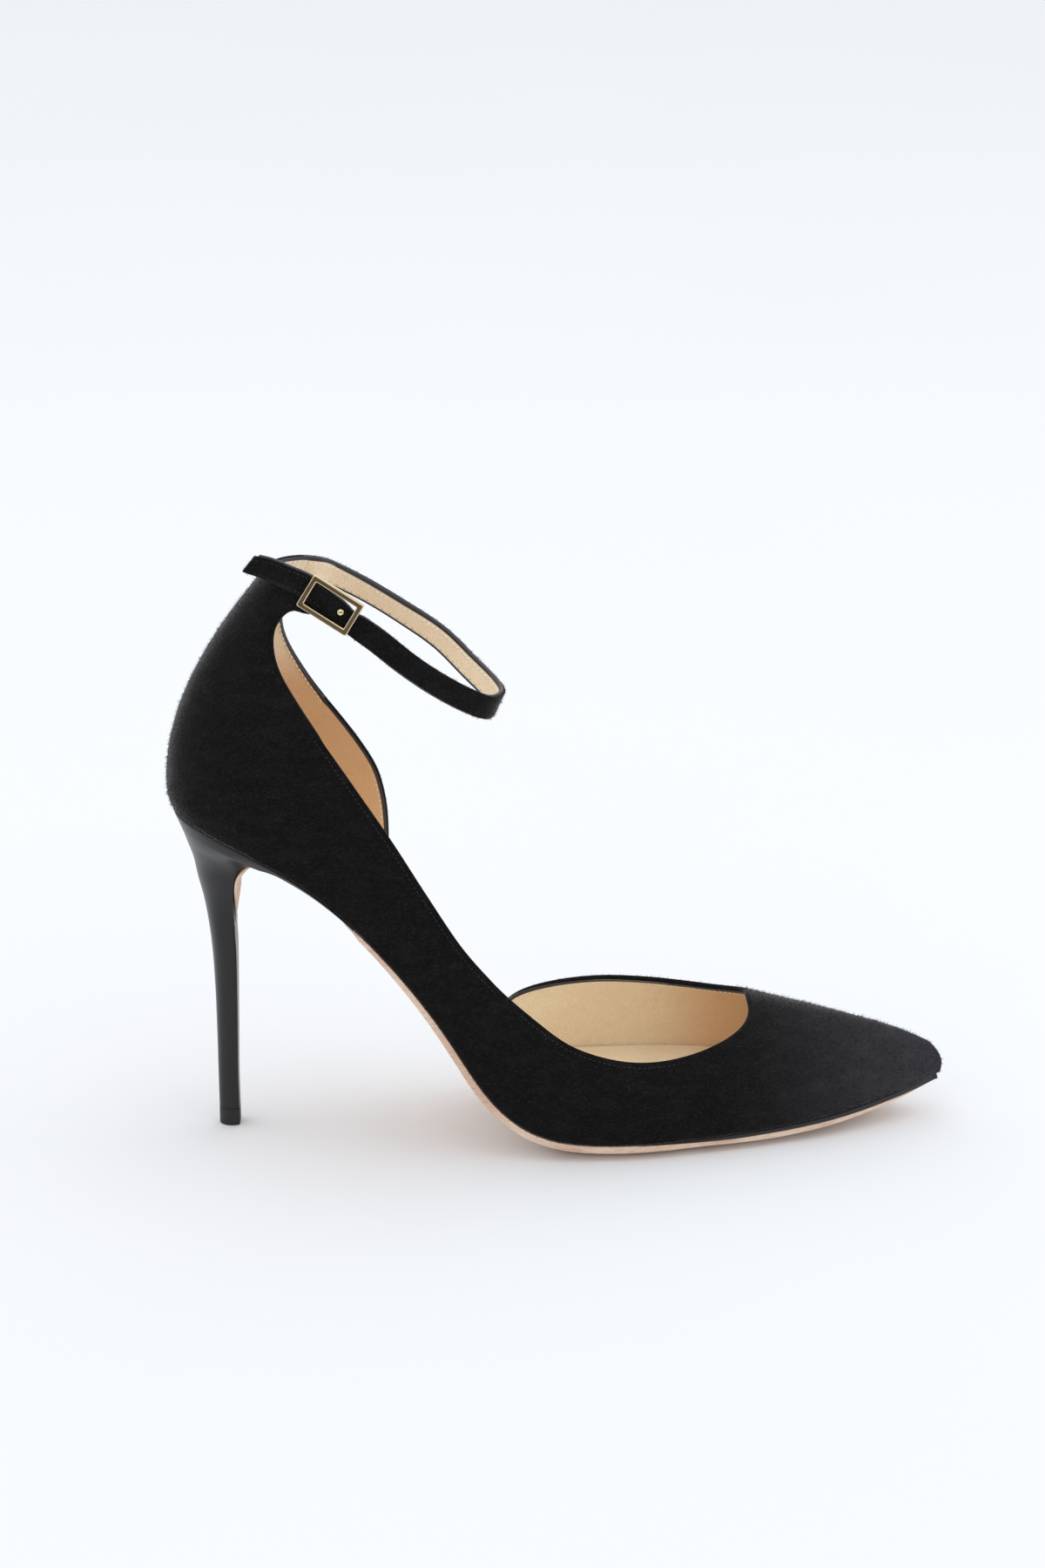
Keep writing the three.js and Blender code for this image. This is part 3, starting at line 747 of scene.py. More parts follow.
@dataclass(frozen=True)
class Metal(Finish):
    """Polished plating with hairline scratches."""

    # Painted dark reflection: the flat face's colour, darkened to stand for the dark room that it mirrors.
    flat: Colour = linear(128, 110, 82)

    def dress(self, graph: Graph, at: Socket) -> dict[str, Socket]:
        """Hairlines, handling marks and a painted dark reflection on the rougher flat face.

        Args:
            graph: The material's tree.
            at: Object coordinates.

        Returns:
            Links by socket name.
        """
        hair = graph.noise(at, 500, 2, (1.0, 1.0, 9.0))
        smear = graph.noise(at, 240, 2)
        # Attribute that marks where the painted dark reflection goes.
        face = graph.node("ShaderNodeAttribute", {"attribute_name": "face"}, output="Fac")
        return {
            "Base Color": graph.blend(face, solid(self.colour), solid(self.flat)),
            "Roughness": self.roughness + 0.12 * smear.step(0.45, 0.8) + 0.14 * face,
            "Normal": graph.bump(hair, 0.005, 0.3),
        }


@dataclass(frozen=True)
class Thread(Finish):
    """Twisted sewing thread."""

    def dress(self, graph: Graph, at: Socket) -> dict[str, Socket]:
        """Its twist."""
        twist = graph.noise(at, 5000, 1)
        return {"Normal": graph.bump(twist, 0.04, 0.8)}


@dataclass(frozen=True)
class Paper(Finish):
    """The studio's pale floor."""

    def dress(self, graph: Graph, at: Socket) -> dict[str, Socket]:
        """A barely visible unevenness."""
        dim = tuple(0.97 * part for part in self.colour)
        return {"Base Color": graph.blend(graph.noise(at, 3, 2), solid(self.colour), solid(dim))}


class Finishes:
    """The shoe's materials, each made once."""

    def __init__(self) -> None:
        """Makes all of them."""
        black = linear(16, 15, 14)
        grey = (0.9, 0.86, 0.88)
        sheen = {"sheen": 0.5, "sheen_roughness": 0.3, "sheen_tint": grey}
        thin = {**sheen, "sheen": 0.25}
        # Both suedes turn paler towards the toe by painted sheen, more weakly on the loose fibres.
        self.suede = Suede("black_suede", black, 0.95, specular=0.12, **sheen).material()
        self.nap = Suede("suede_fibres", linear(17, 16, 16), 0.95, specular=0.08, brushed=0.3, **thin).material()
        self.lint = Thread("pale_lint", linear(120, 118, 116), 0.9).material()
        self.lining = Leather("tan_lining", linear(255, 243, 220), 0.42, specular=0.4).material()
        self.strap_lining = Leather("strap_lining_leather", linear(255, 234, 206), 0.42, specular=0.4).material()
        self.sock = Leather("tan_sock", linear(255, 243, 220), 0.46, specular=0.35, relief=0.03).material()
        self.binding = Lacquer("black_binding", linear(38, 38, 42), 0.28, specular=0.6).material()
        self.sole = SoleLeather("sole_leather", linear(230, 204, 182), 0.55, specular=0.3).material()
        self.rand = Lacquer("black_edge_dressing", linear(24, 23, 25), 0.3, specular=0.5).material()
        self.heel = Lacquer("black_heel_lacquer", linear(22, 21, 22), 0.33, specular=0.42).material()
        self.rubber = Lacquer("black_top_piece", linear(30, 30, 32), 0.45, specular=0.4).material()
        self.metal = Metal("pale_gold", linear(226, 204, 164), 0.1, 1.0).material()
        self.bead = Metal("pale_gold_stud", linear(238, 218, 180), 0.14, 1.0).material()
        self.pale_thread = Thread("pale_thread", linear(255, 250, 240), 0.6).material()
        self.dark_thread = Thread("dark_thread", linear(52, 47, 46), 0.6).material()
        self.floor = Paper("pale_floor", (0.865, 0.88, 0.9), 1.0, specular=0.0).material()
        self.card = Paper("black_card", (0.012, 0.01, 0.009), 1.0, specular=0.0).material()


# Patterns of small shapes


class Pattern:
    """A Geometry Nodes tree that makes a piece from a base mesh."""

    def __init__(self, name: str, sizes: dict[str, object]) -> None:
        """Starts the tree.

        Args:
            name: Name of the tree.
            sizes: Named inputs with their values: numbers, whole numbers, vectors and a material.
        """
        kinds = {float: "Float", int: "Int", tuple: "Vector", Material: "Material"}
        self.group = bpy.data.node_groups.new(name, "GeometryNodeTree")
        self.graph = Graph(self.group)
        self.sizes = sizes
        interface = self.group.interface
        interface.new_socket("Base", in_out="INPUT", socket_type="NodeSocketGeometry")
        for key, value in sizes.items():
            interface.new_socket(key, in_out="INPUT", socket_type="NodeSocket" + kinds[type(value)])
        interface.new_socket("Piece", in_out="OUTPUT", socket_type="NodeSocketGeometry")
        self.source = self.group.nodes.new("NodeGroupInput")

    def given(self, name: str) -> Socket:
        """One of the tree's inputs."""
        return Socket(self.graph, self.source.outputs[name])

    def finish(self, made: Socket) -> None:
        """Ends the tree: real geometry with its material.

        Args:
            made: The geometry.
        """
        real = self.graph.node("GeometryNodeRealizeInstances", None, {0: made})
        values = {"Geometry": real, "Material": self.given("Material")}
        self.graph.node("NodeGroupOutput", None, {"Piece": self.graph.node("GeometryNodeSetMaterial", None, values)})

    def piece(self, base: Piece, name: str) -> Piece:
        """Runs the tree on a base and keeps the result as a plain mesh.

        Args:
            base: The base object, which goes away.
            name: Name of the new piece.

        Returns:
            The piece.
        """
        modifier = base.modifiers.new("pattern", "NODES")
        modifier.node_group = self.group
        for item in self.group.interface.items_tree:
            if item.in_out == "INPUT" and item.name in self.sizes:
                modifier[item.identifier] = self.sizes[item.name]
        bpy.context.view_layer.update()
        graph = bpy.context.evaluated_depsgraph_get()
        mesh = bpy.data.meshes.new_from_object(base.evaluated_get(graph), depsgraph=graph)
        mesh.name = name
        bpy.data.objects.remove(base)
        mesh.polygons.foreach_set("use_smooth", [True] * len(mesh.polygons))
        return placed(name, mesh)


def base_line(points: Array, facing: Array) -> Piece:
    """Line for a pattern to follow.

    Args:
        points: Its points.
        facing: Direction at each point that the pattern's back is turned from.

    Returns:
        An object with only points and edges.
    """
    mesh = bpy.data.meshes.new("line")
    mesh.from_pydata(Place.metres(points).tolist(), [(i, i + 1) for i in range(len(points) - 1)], [])
    layer = mesh.attributes.new("facing", "FLOAT_VECTOR", "POINT")
    layer.data.foreach_set("vector", np.ravel(facing).astype(np.float32))
    return placed("line", mesh)


def facing_of(pattern: Pattern) -> Socket:
    """The facing that is stored on the pattern's base line."""
    return pattern.graph.node("GeometryNodeInputNamedAttribute", {"data_type": "FLOAT_VECTOR"}, {"Name": "facing"})


def curve_of(pattern: Pattern) -> Socket:
    """The pattern's base line as a curve whose normals are its facing.

    Args:
        pattern: The pattern.

    Returns:
        The curve.
    """
    curve = pattern.graph.node("GeometryNodeMeshToCurve", None, {"Mesh": pattern.given("Base")})
    values = {"Curve": curve, "Normal": facing_of(pattern)}
    return pattern.graph.node("GeometryNodeSetCurveNormal", {"mode": "FREE"}, values)


def piping(
    name: str, points: Array, facing: Array, deep: float, wide: float, material: Material
) -> Piece:
    """A rounded strip that follows a line.

    Args:
        name: Name of the piece.
        points: The line.
        facing: Direction that the strip's depth is measured in.
        deep: Its size along the facing, in millimetres.
        wide: Its size across the facing.
        material: Its finish.

    Returns:
        The piece.
    """
    sizes = {"Depth": deep / 1000, "Width": wide / 1000, "Sides": 14, "Material": material}
    pattern = Pattern(name + "_pattern", sizes)
    graph = pattern.graph
    circle = graph.node("GeometryNodeCurvePrimitiveCircle", None, {"Resolution": pattern.given("Sides"), "Radius": 0.5})
    sizes = graph.node("ShaderNodeCombineXYZ", None, {0: pattern.given("Depth"), 1: pattern.given("Width"), 2: 1.0})
    profile = graph.node("GeometryNodeTransform", None, {"Geometry": circle, "Scale": sizes})
    sweep = {"Curve": curve_of(pattern), "Profile Curve": profile, "Scale": 1.0, "Fill Caps": True}
    pattern.finish(graph.node("GeometryNodeCurveToMesh", None, sweep))
    return pattern.piece(base_line(points, facing), name)


@dataclass(frozen=True)
class Seam:
    """Sizes of a row of stitches: from one to the next, and a stitch's length and thickness."""

    pitch: float
    long: float
    thick: float


def stitches(name: str, points: Array, facing: Array, seam: Seam, material: Material) -> Piece:
    """A row of stitches along a line.

    Args:
        name: Name of the piece.
        points: The line.
        facing: Direction away from the material that is sewn.
        seam: Sizes of the stitches.
        material: The thread.

    Returns:
        The piece.
    """
    sizes = {"Pitch": seam.pitch / 1000, "Length": seam.long / 1000, "Thread": seam.thick / 1000, "Material": material}
    pattern = Pattern(name + "_pattern", sizes)
    graph = pattern.graph
    spread = {"Curve": curve_of(pattern), "Length": pattern.given("Pitch")}
    places = graph.node("GeometryNodeResampleCurve", {"mode": "LENGTH"}, spread)
    stitch = graph.node("GeometryNodeMeshUVSphere", None, {"Segments": 6, "Rings": 5, "Radius": 0.5})
    thread = pattern.given("Thread")
    size = graph.node("ShaderNodeCombineXYZ", None, {0: pattern.given("Length"), 1: thread, 2: thread})
    stitch = graph.node("GeometryNodeTransform", None, {"Geometry": stitch, "Scale": size})
    along = graph.node("GeometryNodeInputTangent")
    turn = graph.node("FunctionNodeAlignRotationToVector", {"axis": "X"}, {"Vector": along})
    turned = {"Rotation": turn, "Vector": facing_of(pattern)}
    turn = graph.node("FunctionNodeAlignRotationToVector", {"axis": "Z", "pivot_axis": "X"}, turned)
    row = {"Points": places, "Instance": stitch, "Rotation": turn}
    pattern.finish(graph.node("GeometryNodeInstanceOnPoints", None, row))
    return pattern.piece(base_line(points, facing), name)


@dataclass(frozen=True)
class Nap:
    """Fibres on a surface: how many to a square millimetre, their length, thickness, lift, brushing and seed."""

    per_mm: float
    long: float
    thick: float
    lift: float
    brushed: tuple[float, float, float]
    seed: int


def fibres(name: str, base: Piece, nap: Nap, material: Material) -> Piece:
    """Short fibres that stand and lie on a surface.

    Args:
        name: Name of the piece.
        base: The surface, an object that goes away.
        nap: Sizes of the fibres.
        material: Their finish.

    Returns:
        The piece.
    """
    sizes = {
        "Density": nap.per_mm * 1e6, "Length": nap.long / 1000, "Thickness": nap.thick / 1000, "Lift": nap.lift,
        "Brushed": nap.brushed, "Seed": nap.seed, "Material": material,
    }
    pattern = Pattern(name + "_pattern", sizes)
    graph = pattern.graph
    spread = {"Mesh": pattern.given("Base"), "Density": pattern.given("Density"), "Seed": pattern.given("Seed")}
    points = graph.node("GeometryNodeDistributePointsOnFaces", {"distribute_method": "RANDOM"}, spread)
    normal = Socket(graph, points.source.node.outputs["Normal"])
    thick, long = pattern.given("Thickness"), pattern.given("Length")
    cone = {"Vertices": 3, "Side Segments": 1, "Radius Bottom": thick, "Depth": long}
    fibre = graph.node("GeometryNodeMeshCone", {"fill_type": "NONE"}, cone)
    astray = {0: (-0.7, -0.7, -0.7), 1: (0.7, 0.7, 0.7), "Seed": pattern.given("Seed")}
    stray = graph.node("FunctionNodeRandomValue", {"data_type": "FLOAT_VECTOR"}, astray)
    up = graph.node("ShaderNodeVectorMath", {"operation": "SCALE"}, {0: normal, "Scale": pattern.given("Lift")})
    lean = graph.node("ShaderNodeVectorMath", {"operation": "ADD"}, {0: up, 1: pattern.given("Brushed")})
    lean = graph.node("ShaderNodeVectorMath", {"operation": "ADD"}, {0: lean, 1: stray})
    turn = graph.node("FunctionNodeAlignRotationToVector", {"axis": "Z"}, {"Vector": lean})
    between = {2: 0.5, 3: 1.2, "Seed": pattern.given("Seed")}
    grown = graph.node("FunctionNodeRandomValue", {"data_type": "FLOAT"}, between, 1)
    rows = {"Points": points, "Instance": fibre, "Rotation": turn, "Scale": grown}
    pattern.finish(graph.node("GeometryNodeInstanceOnPoints", None, rows))
    return pattern.piece(base, name)


# The last


@dataclass
class Last:
    """The foot shape that the whole shoe follows, in millimetres."""

    length: float = 228.0
    overhang: float = 15.8
    ball_width: float = 66.0
    seat_width: float = 51.0
    heel_height: float = 101.6
    toe_spring: float = 7.9
    instep: float = 48.0
    quarter: float = 82.0
    nose: float = 5.0
    nose_rise: float = 0.3
    swing_end: float = 0.3
    feather_height: float = 4.7
    # along, share of the heel's lift, share of the toe spring
    profile_rows: Rows = (
        (0.0, 1.0, 0.0), (0.045, 0.979, 0.0), (0.085, 0.946, 0.0), (0.13, 0.896, 0.0), (0.18, 0.82, 0.0),
        (0.23, 0.716, 0.0), (0.28, 0.586, 0.0), (0.325, 0.451, 0.0), (0.365, 0.311, 0.0), (0.4, 0.181, 0.0),
        (0.44, 0.08, 0.0), (0.48, 0.029, 0.0), (0.53, 0.006, 0.0), (0.59, 0.0, 0.0), (0.68, 0.0, 0.013),
        (0.77, 0.0, 0.076), (0.85, 0.0, 0.24), (0.92, 0.0, 0.52), (0.97, 0.0, 0.8), (1.0, 0.0, 1.0),
    )
    # along, outer, inner, crown, low bulge, low rise, high width, high rise, ridge, tilt in degrees
    section_rows: Rows = (
        (0.13, 0.394, 0.38, 1.98, 0.06, 0.3, 0.285, 0.6, 0.318, 24),
        (0.19, 0.387, 0.357, 1.756, 0.053, 0.3, 0.3, 0.62, 0.27, 24),
        (0.26, 0.376, 0.326, 1.549, 0.046, 0.32, 0.317, 0.68, 0.18, 23),
        (0.33, 0.372, 0.332, 1.32, 0.045, 0.36, 0.333, 0.8, 0.09, 19),
        (0.4, 0.39, 0.385, 1.131, 0.045, 0.42, 0.334, 0.92, 0.03, 13),
        (0.47, 0.415, 0.469, 1.0, 0.045, 0.48, 0.326, 1.0, 0.0, 6),
        (0.54, 0.416, 0.542, 0.925, 0.045, 0.52, 0.319, 1.0, 0.0, 1),
        (0.61, 0.39, 0.58, 0.85, 0.043, 0.54, 0.304, 1.0, 0.0, 0),
        (0.68, 0.328, 0.571, 0.775, 0.037, 0.54, 0.267, 1.0, 0.0, 0),
        (0.755, 0.247, 0.512, 0.685, 0.03, 0.54, 0.211, 1.0, 0.0, 0),
        (0.825, 0.159, 0.432, 0.592, 0.024, 0.54, 0.16, 1.0, 0.0, 0),
        (0.895, 0.046, 0.341, 0.468, 0.018, 0.54, 0.102, 1.0, 0.0, 0),
        (0.95, -0.062, 0.261, 0.335, 0.012, 0.54, 0.058, 1.0, 0.0, 0),
        (1.0, -0.169, 0.183, 0.165, 0.004, 0.54, 0.014, 1.0, 0.0, 0),
    )
    # reach behind the pivot, rise as a share of the crown, fullness
    back_rows: Rows = ((1.0, 0.0, 2.0), (1.5, 0.339, 2.1), (1.385, 0.657, 2.3), (1.01, 1.0, 2.3))

    def __post_init__(self) -> None:
        """Works out the splines and the fixed places."""
        self.back = -self.overhang
        self.toe = self.back + self.length
        self.heel_row = self.section_rows[0]
        self.pivot = self.back + self.heel_row[0] * self.length
        self.lift, self.spring = splines(self.profile_rows)
        self.section = splines(self.section_rows)
        self.collar = float(self.feather(self.pivot)) + self.quarter

    def feather(self, x: Numbers) -> Array:
        """Height of the line where the upper meets the sole.

        Args:
            x: Places along the shoe.

        Returns:
            The heights.
        """
        along = np.clip((np.asarray(x, float) - self.back) / self.length, 0, 1)
        rise = self.lift(along) * (self.heel_height - self.feather_height)
        return self.feather_height + rise + self.spring(along) * self.toe_spring

    def slope(self, x: Numbers) -> Array:
        """Slope of the feather line."""
        return (self.feather(x + 1) - self.feather(x - 1)) / 2

    def station(self, along: float) -> float:
        """Station at a share of the last's length ahead of the pivot."""
        return (along - self.heel_row[0]) * self.length / (self.toe - self.pivot)

    @staticmethod
    def _cubic(a: Array, b: Array, c: Array, d: Array, share: Array) -> Array:
        """Value of a cubic curve with four controls."""
        rest = 1 - share
        return rest**3 * a + 3 * rest * rest * share * b + 3 * rest * share * share * c + share**3 * d

    def _front(self, side: int, forward: Array, up: Array, inset: Array) -> Array:
        """Points ahead of the heel's pivot.

        Args:
            side: -1 outside, 1 inside.
            forward: Share of the way to the toe.
            up: Share of the rib.
            inset: How far inside the outside.

        Returns:
            The points.
        """
        reach = self.toe - inset - self.pivot
        x = self.pivot + forward * reach
        along = (x - self.back) / self.length
        blunt = np.clip((1 - forward) * reach / self.nose, 0, 1)
        nose = np.sqrt(blunt * (2 - blunt))
        outer, inner, crown, bulge, low_rise, high_width, high_rise, ridge, tilt = (
            column(along) for column in self.section
        )
        centre = (inner - outer) / 2 * self.ball_width * smoothstep(along, self.heel_row[0], self.swing_end)
        half = (outer * self.ball_width + centre if side < 0 else inner * self.ball_width - centre) * nose
        half = half - inset * nose
        crown = crown * self.instep * (self.nose_rise + (1 - self.nose_rise) * nose) - inset
        low = half + bulge * self.ball_width * nose
        high = np.maximum(0, high_width * self.ball_width * nose - inset * nose)
        width = self._cubic(half, low, high, np.maximum(0, ridge * self.ball_width - inset), up)
        rise = self._cubic(0, low_rise * crown, high_rise * crown, crown, up)
        tilt = np.radians(tilt)
        return np.stack(
            np.broadcast_arrays(x + np.sin(tilt) * rise, centre + side * width, self.feather(x) + np.cos(tilt) * rise),
            -1,
        )

    def _heel(self, side: int, turn: Array, up: Array, inset: Array) -> Array:
        """Points of the heel's round part.

        Args:
            side: -1 outside, 1 inside.
            turn: Share of the way round to the back.
            up: Share of the rib.
            inset: How far inside the outside.

        Returns:
            The points.
        """
        angle = turn * np.pi / 2
        _, outer, inner, crown, bulge, low_rise, high_width, high_rise, ridge, lean = self.heel_row
        tilt = math.radians(lean)
        rear = np.sin(angle) ** 2
        across = (outer if side < 0 else inner) * self.ball_width
        sides = (across, across + bulge * self.ball_width, high_width * self.ball_width, ridge * self.ball_width)
        radii = []
        for half, (reach, _, fullness) in zip(sides, self.back_rows):
            deep = reach * (self.pivot - self.back) - inset
            near = (np.maximum(0, np.cos(angle)) / (half - inset)) ** fullness
            radii.append((near + (np.sin(angle) / deep) ** fullness) ** (-1 / fullness))
        seat = self.feather(self.pivot - radii[0] * np.sin(angle))
        top = self.feather(self.pivot) + math.cos(tilt) * crown * self.instep
        height = (top - seat) / math.cos(tilt)
        low = low_rise + (self.back_rows[1][1] - low_rise) * rear
        high = high_rise + (self.back_rows[2][1] - high_rise) * rear
        radius = self._cubic(*radii, up)
        rise = self._cubic(0, low * height, high * height, height, up)
        x = self.pivot + math.sin(tilt) * rise - radius * np.sin(angle)
        y = side * radius * np.cos(angle)
        return np.stack(np.broadcast_arrays(x, y, seat + math.cos(tilt) * rise), -1)

    def point(self, side: int, station: Array, up: Array = 0.0, inset: Array = 0.0) -> Array:
        """Points of the last.

        Args:
            side: -1 on the outer side, 1 on the inner.
            station: -1 at the back seam, 0 at the heel's pivot, 1 at the toe's tip.
            up: 0 at the feather line, 1 on top.
            inset: How far inside the outside of the upper.

        Returns:
            Points, one for each of the arguments together.
        """
        station, up, inset = np.broadcast_arrays(*(np.asarray(v, float) for v in (station, up, inset)))
        heel = self._heel(side, np.clip(-station, 0, 1), up, inset)
        front = self._front(side, np.clip(station, 0, 1), up, inset)
        return np.where(station[..., None] < 0, heel, front)

    @staticmethod
    def pull(station: Array, low: Array) -> Array:
        # Marks the flat face for its painted dark reflection.
        """How far the lasted upper is pulled in at heel and toe, at a height over the feather line.

        Args:
            station: Stations.
            low: Heights over the feather line.

        Returns:
            The distances.
        """
        heel = 1.2 * (1 - smoothstep(station, -0.25, 0.1)) * np.clip(1 - low / 7, 0, 1) ** 2
        toe = 0.6 * smoothstep(station, 0.82, 1.0) * np.clip(1 - low / 4.5, 0, 1) ** 2
        return heel + toe

    def edge(self, side: int, station: Array, inset: Array = 0.0) -> Array:
        """Points of the pulled-in feather line."""
        return self.point(side, station, 0.0, inset + self.pull(np.asarray(station, float), 0.0))

    def half_width(self, side: int, x: float, z: float) -> float:
        """Half width of the outside of the quarter at a place of its side view.

        Args:
            side: -1 outside, 1 inside.
            x: Place along the shoe.
            z: Its height.

        Returns:
            The half width.
        """
        turns = np.linspace(0, 1, 161)[:, None]
        ups = np.linspace(0, 1, 321)[None, :]
        points = self.point(side, -turns, ups)
        line = []
        for row in points:
            height = np.interp(z, row[:, 2], np.arange(len(row)))
            line.append([np.interp(height, np.arange(len(row)), row[:, i]) for i in range(2)])
        line = np.array(line)
        order = np.argsort(line[:, 0])
        return abs(float(np.interp(x, line[order, 0], line[order, 1])))


@dataclass
class StrapPath:
    """Centre line and lean of the ankle strap."""

    last: Last
    length: float = 60.0
    span: float = 46.0
    drop: float = 38.0
    width: float = 6.9
    thickness: float = 1.8
    gap: float = 0.3
    start: float = 0.165
    # ahead, out, drop: shares of the strap's sizes; lean in degrees; seated on the quarter
    rows: Rows = (
        (0.03, 0.0, 0.128, 8, 1), (0.09, 0.366, 0.147, 10, 0), (0.16, 0.448, 0.219, 14, 0),
        (0.32, 0.515, 0.378, 16, 0), (0.5, 0.515, 0.557, 8, 0), (0.68, 0.455, 0.734, -10, 0),
        (0.825, 0.32, 0.91, -22, 0), (0.935, 0.15, 1.02, -28, 0), (0.97, -0.01, 1.048, -26, 0),
        (0.93, -0.17, 1.035, -10, 0), (0.84, -0.29, 0.935, 8, 0), (0.68, -0.4, 0.745, 16, 0),
        (0.52, -0.47, 0.53, 18, 0), (0.4, -0.48, 0.36, 14, 0), (0.31, -0.44, 0.245, 8, 1), (0.18, -0.4, 0.09, 5, 1),
        (0.08, -0.35, -0.01, 5, 1), (0.0, -0.31, -0.045, 2, 1), (-0.095, -0.275, -0.088, -10, 0),
        (-0.19, -0.26, -0.128, -26, 0),
    )

    def __post_init__(self) -> None:
        """Sets the line through its rows."""
        points = []
        begin = self.last.back + self.start * self.last.length
        for i, (ahead, out, drop, _, seated) in enumerate(self.rows):
            x, z = begin + ahead * self.length, self.last.collar - drop * self.drop
            side = 1 if i == 0 else -1
            offset = self.gap + self.thickness / 2 if side < 0 else -self.thickness / 2
            y = out * self.span
            if seated:
                y = side * (self.last.half_width(side, x, min(z, self.last.collar)) + offset)
            points.append((x, y, z))
        self.path = SmoothPath(np.array(points))
        self.leans = Spline(np.linspace(0, 1, len(self.rows)), [row[3] for row in self.rows])

    def frames(self, share: Numbers) -> tuple[Array, Array, Array, Array]:
        """Places and directions of the strap.

        Args:
            share: Shares of its way, from the inner side to the free end.

        Returns:
            Centres, then unit vectors along it, up its width and in towards the ankle.
        """
        share = np.atleast_1d(np.asarray(share, float))
        centre, along = self.path.at(share), self.path.along(share)
        lean = np.radians(self.leans(share))[:, None]
        upright = unit(np.array([0, 0, 1.0]) - along[:, 2:] * along)
        inward = np.cross(along, upright)
        up = upright * np.cos(lean) + inward * np.sin(lean)
        return centre, along, up, inward * np.cos(lean) - upright * np.sin(lean)

    def side_point(self, share: float, rise: float) -> Array:
        """X and Z of the strap at a share of its way and of its half width."""
        centre, _, up, _ = self.frames(share)
        return (centre + up * rise * self.width / 2)[0, [0, 2]]


# Sub-assemblies


@dataclass
class Crease:
    """A soft crease in the lining, by its place in side view."""

    x: float
    z: float
    angle: float
    length: float
    width: float
    depth: float

    def at(self, points: Array) -> Array:
        """How deep the crease is at points of the shoe.

        Args:
            points: The points.

        Returns:
            The depths.
        """
        turn = math.radians(self.angle)
        dx, dz = points[..., 0] - self.x, points[..., 2] - self.z
        run = dx * math.cos(turn) + dz * math.sin(turn)
        off = dz * math.cos(turn) - dx * math.sin(turn) + 0.012 * run * run
        fade = np.exp(-((run / self.length) ** 4))
        near = off / self.width
        return 1.9 * self.depth * fade * (np.exp(-(near**2)) - 0.6 * np.exp(-((near - 1.6) ** 2)))


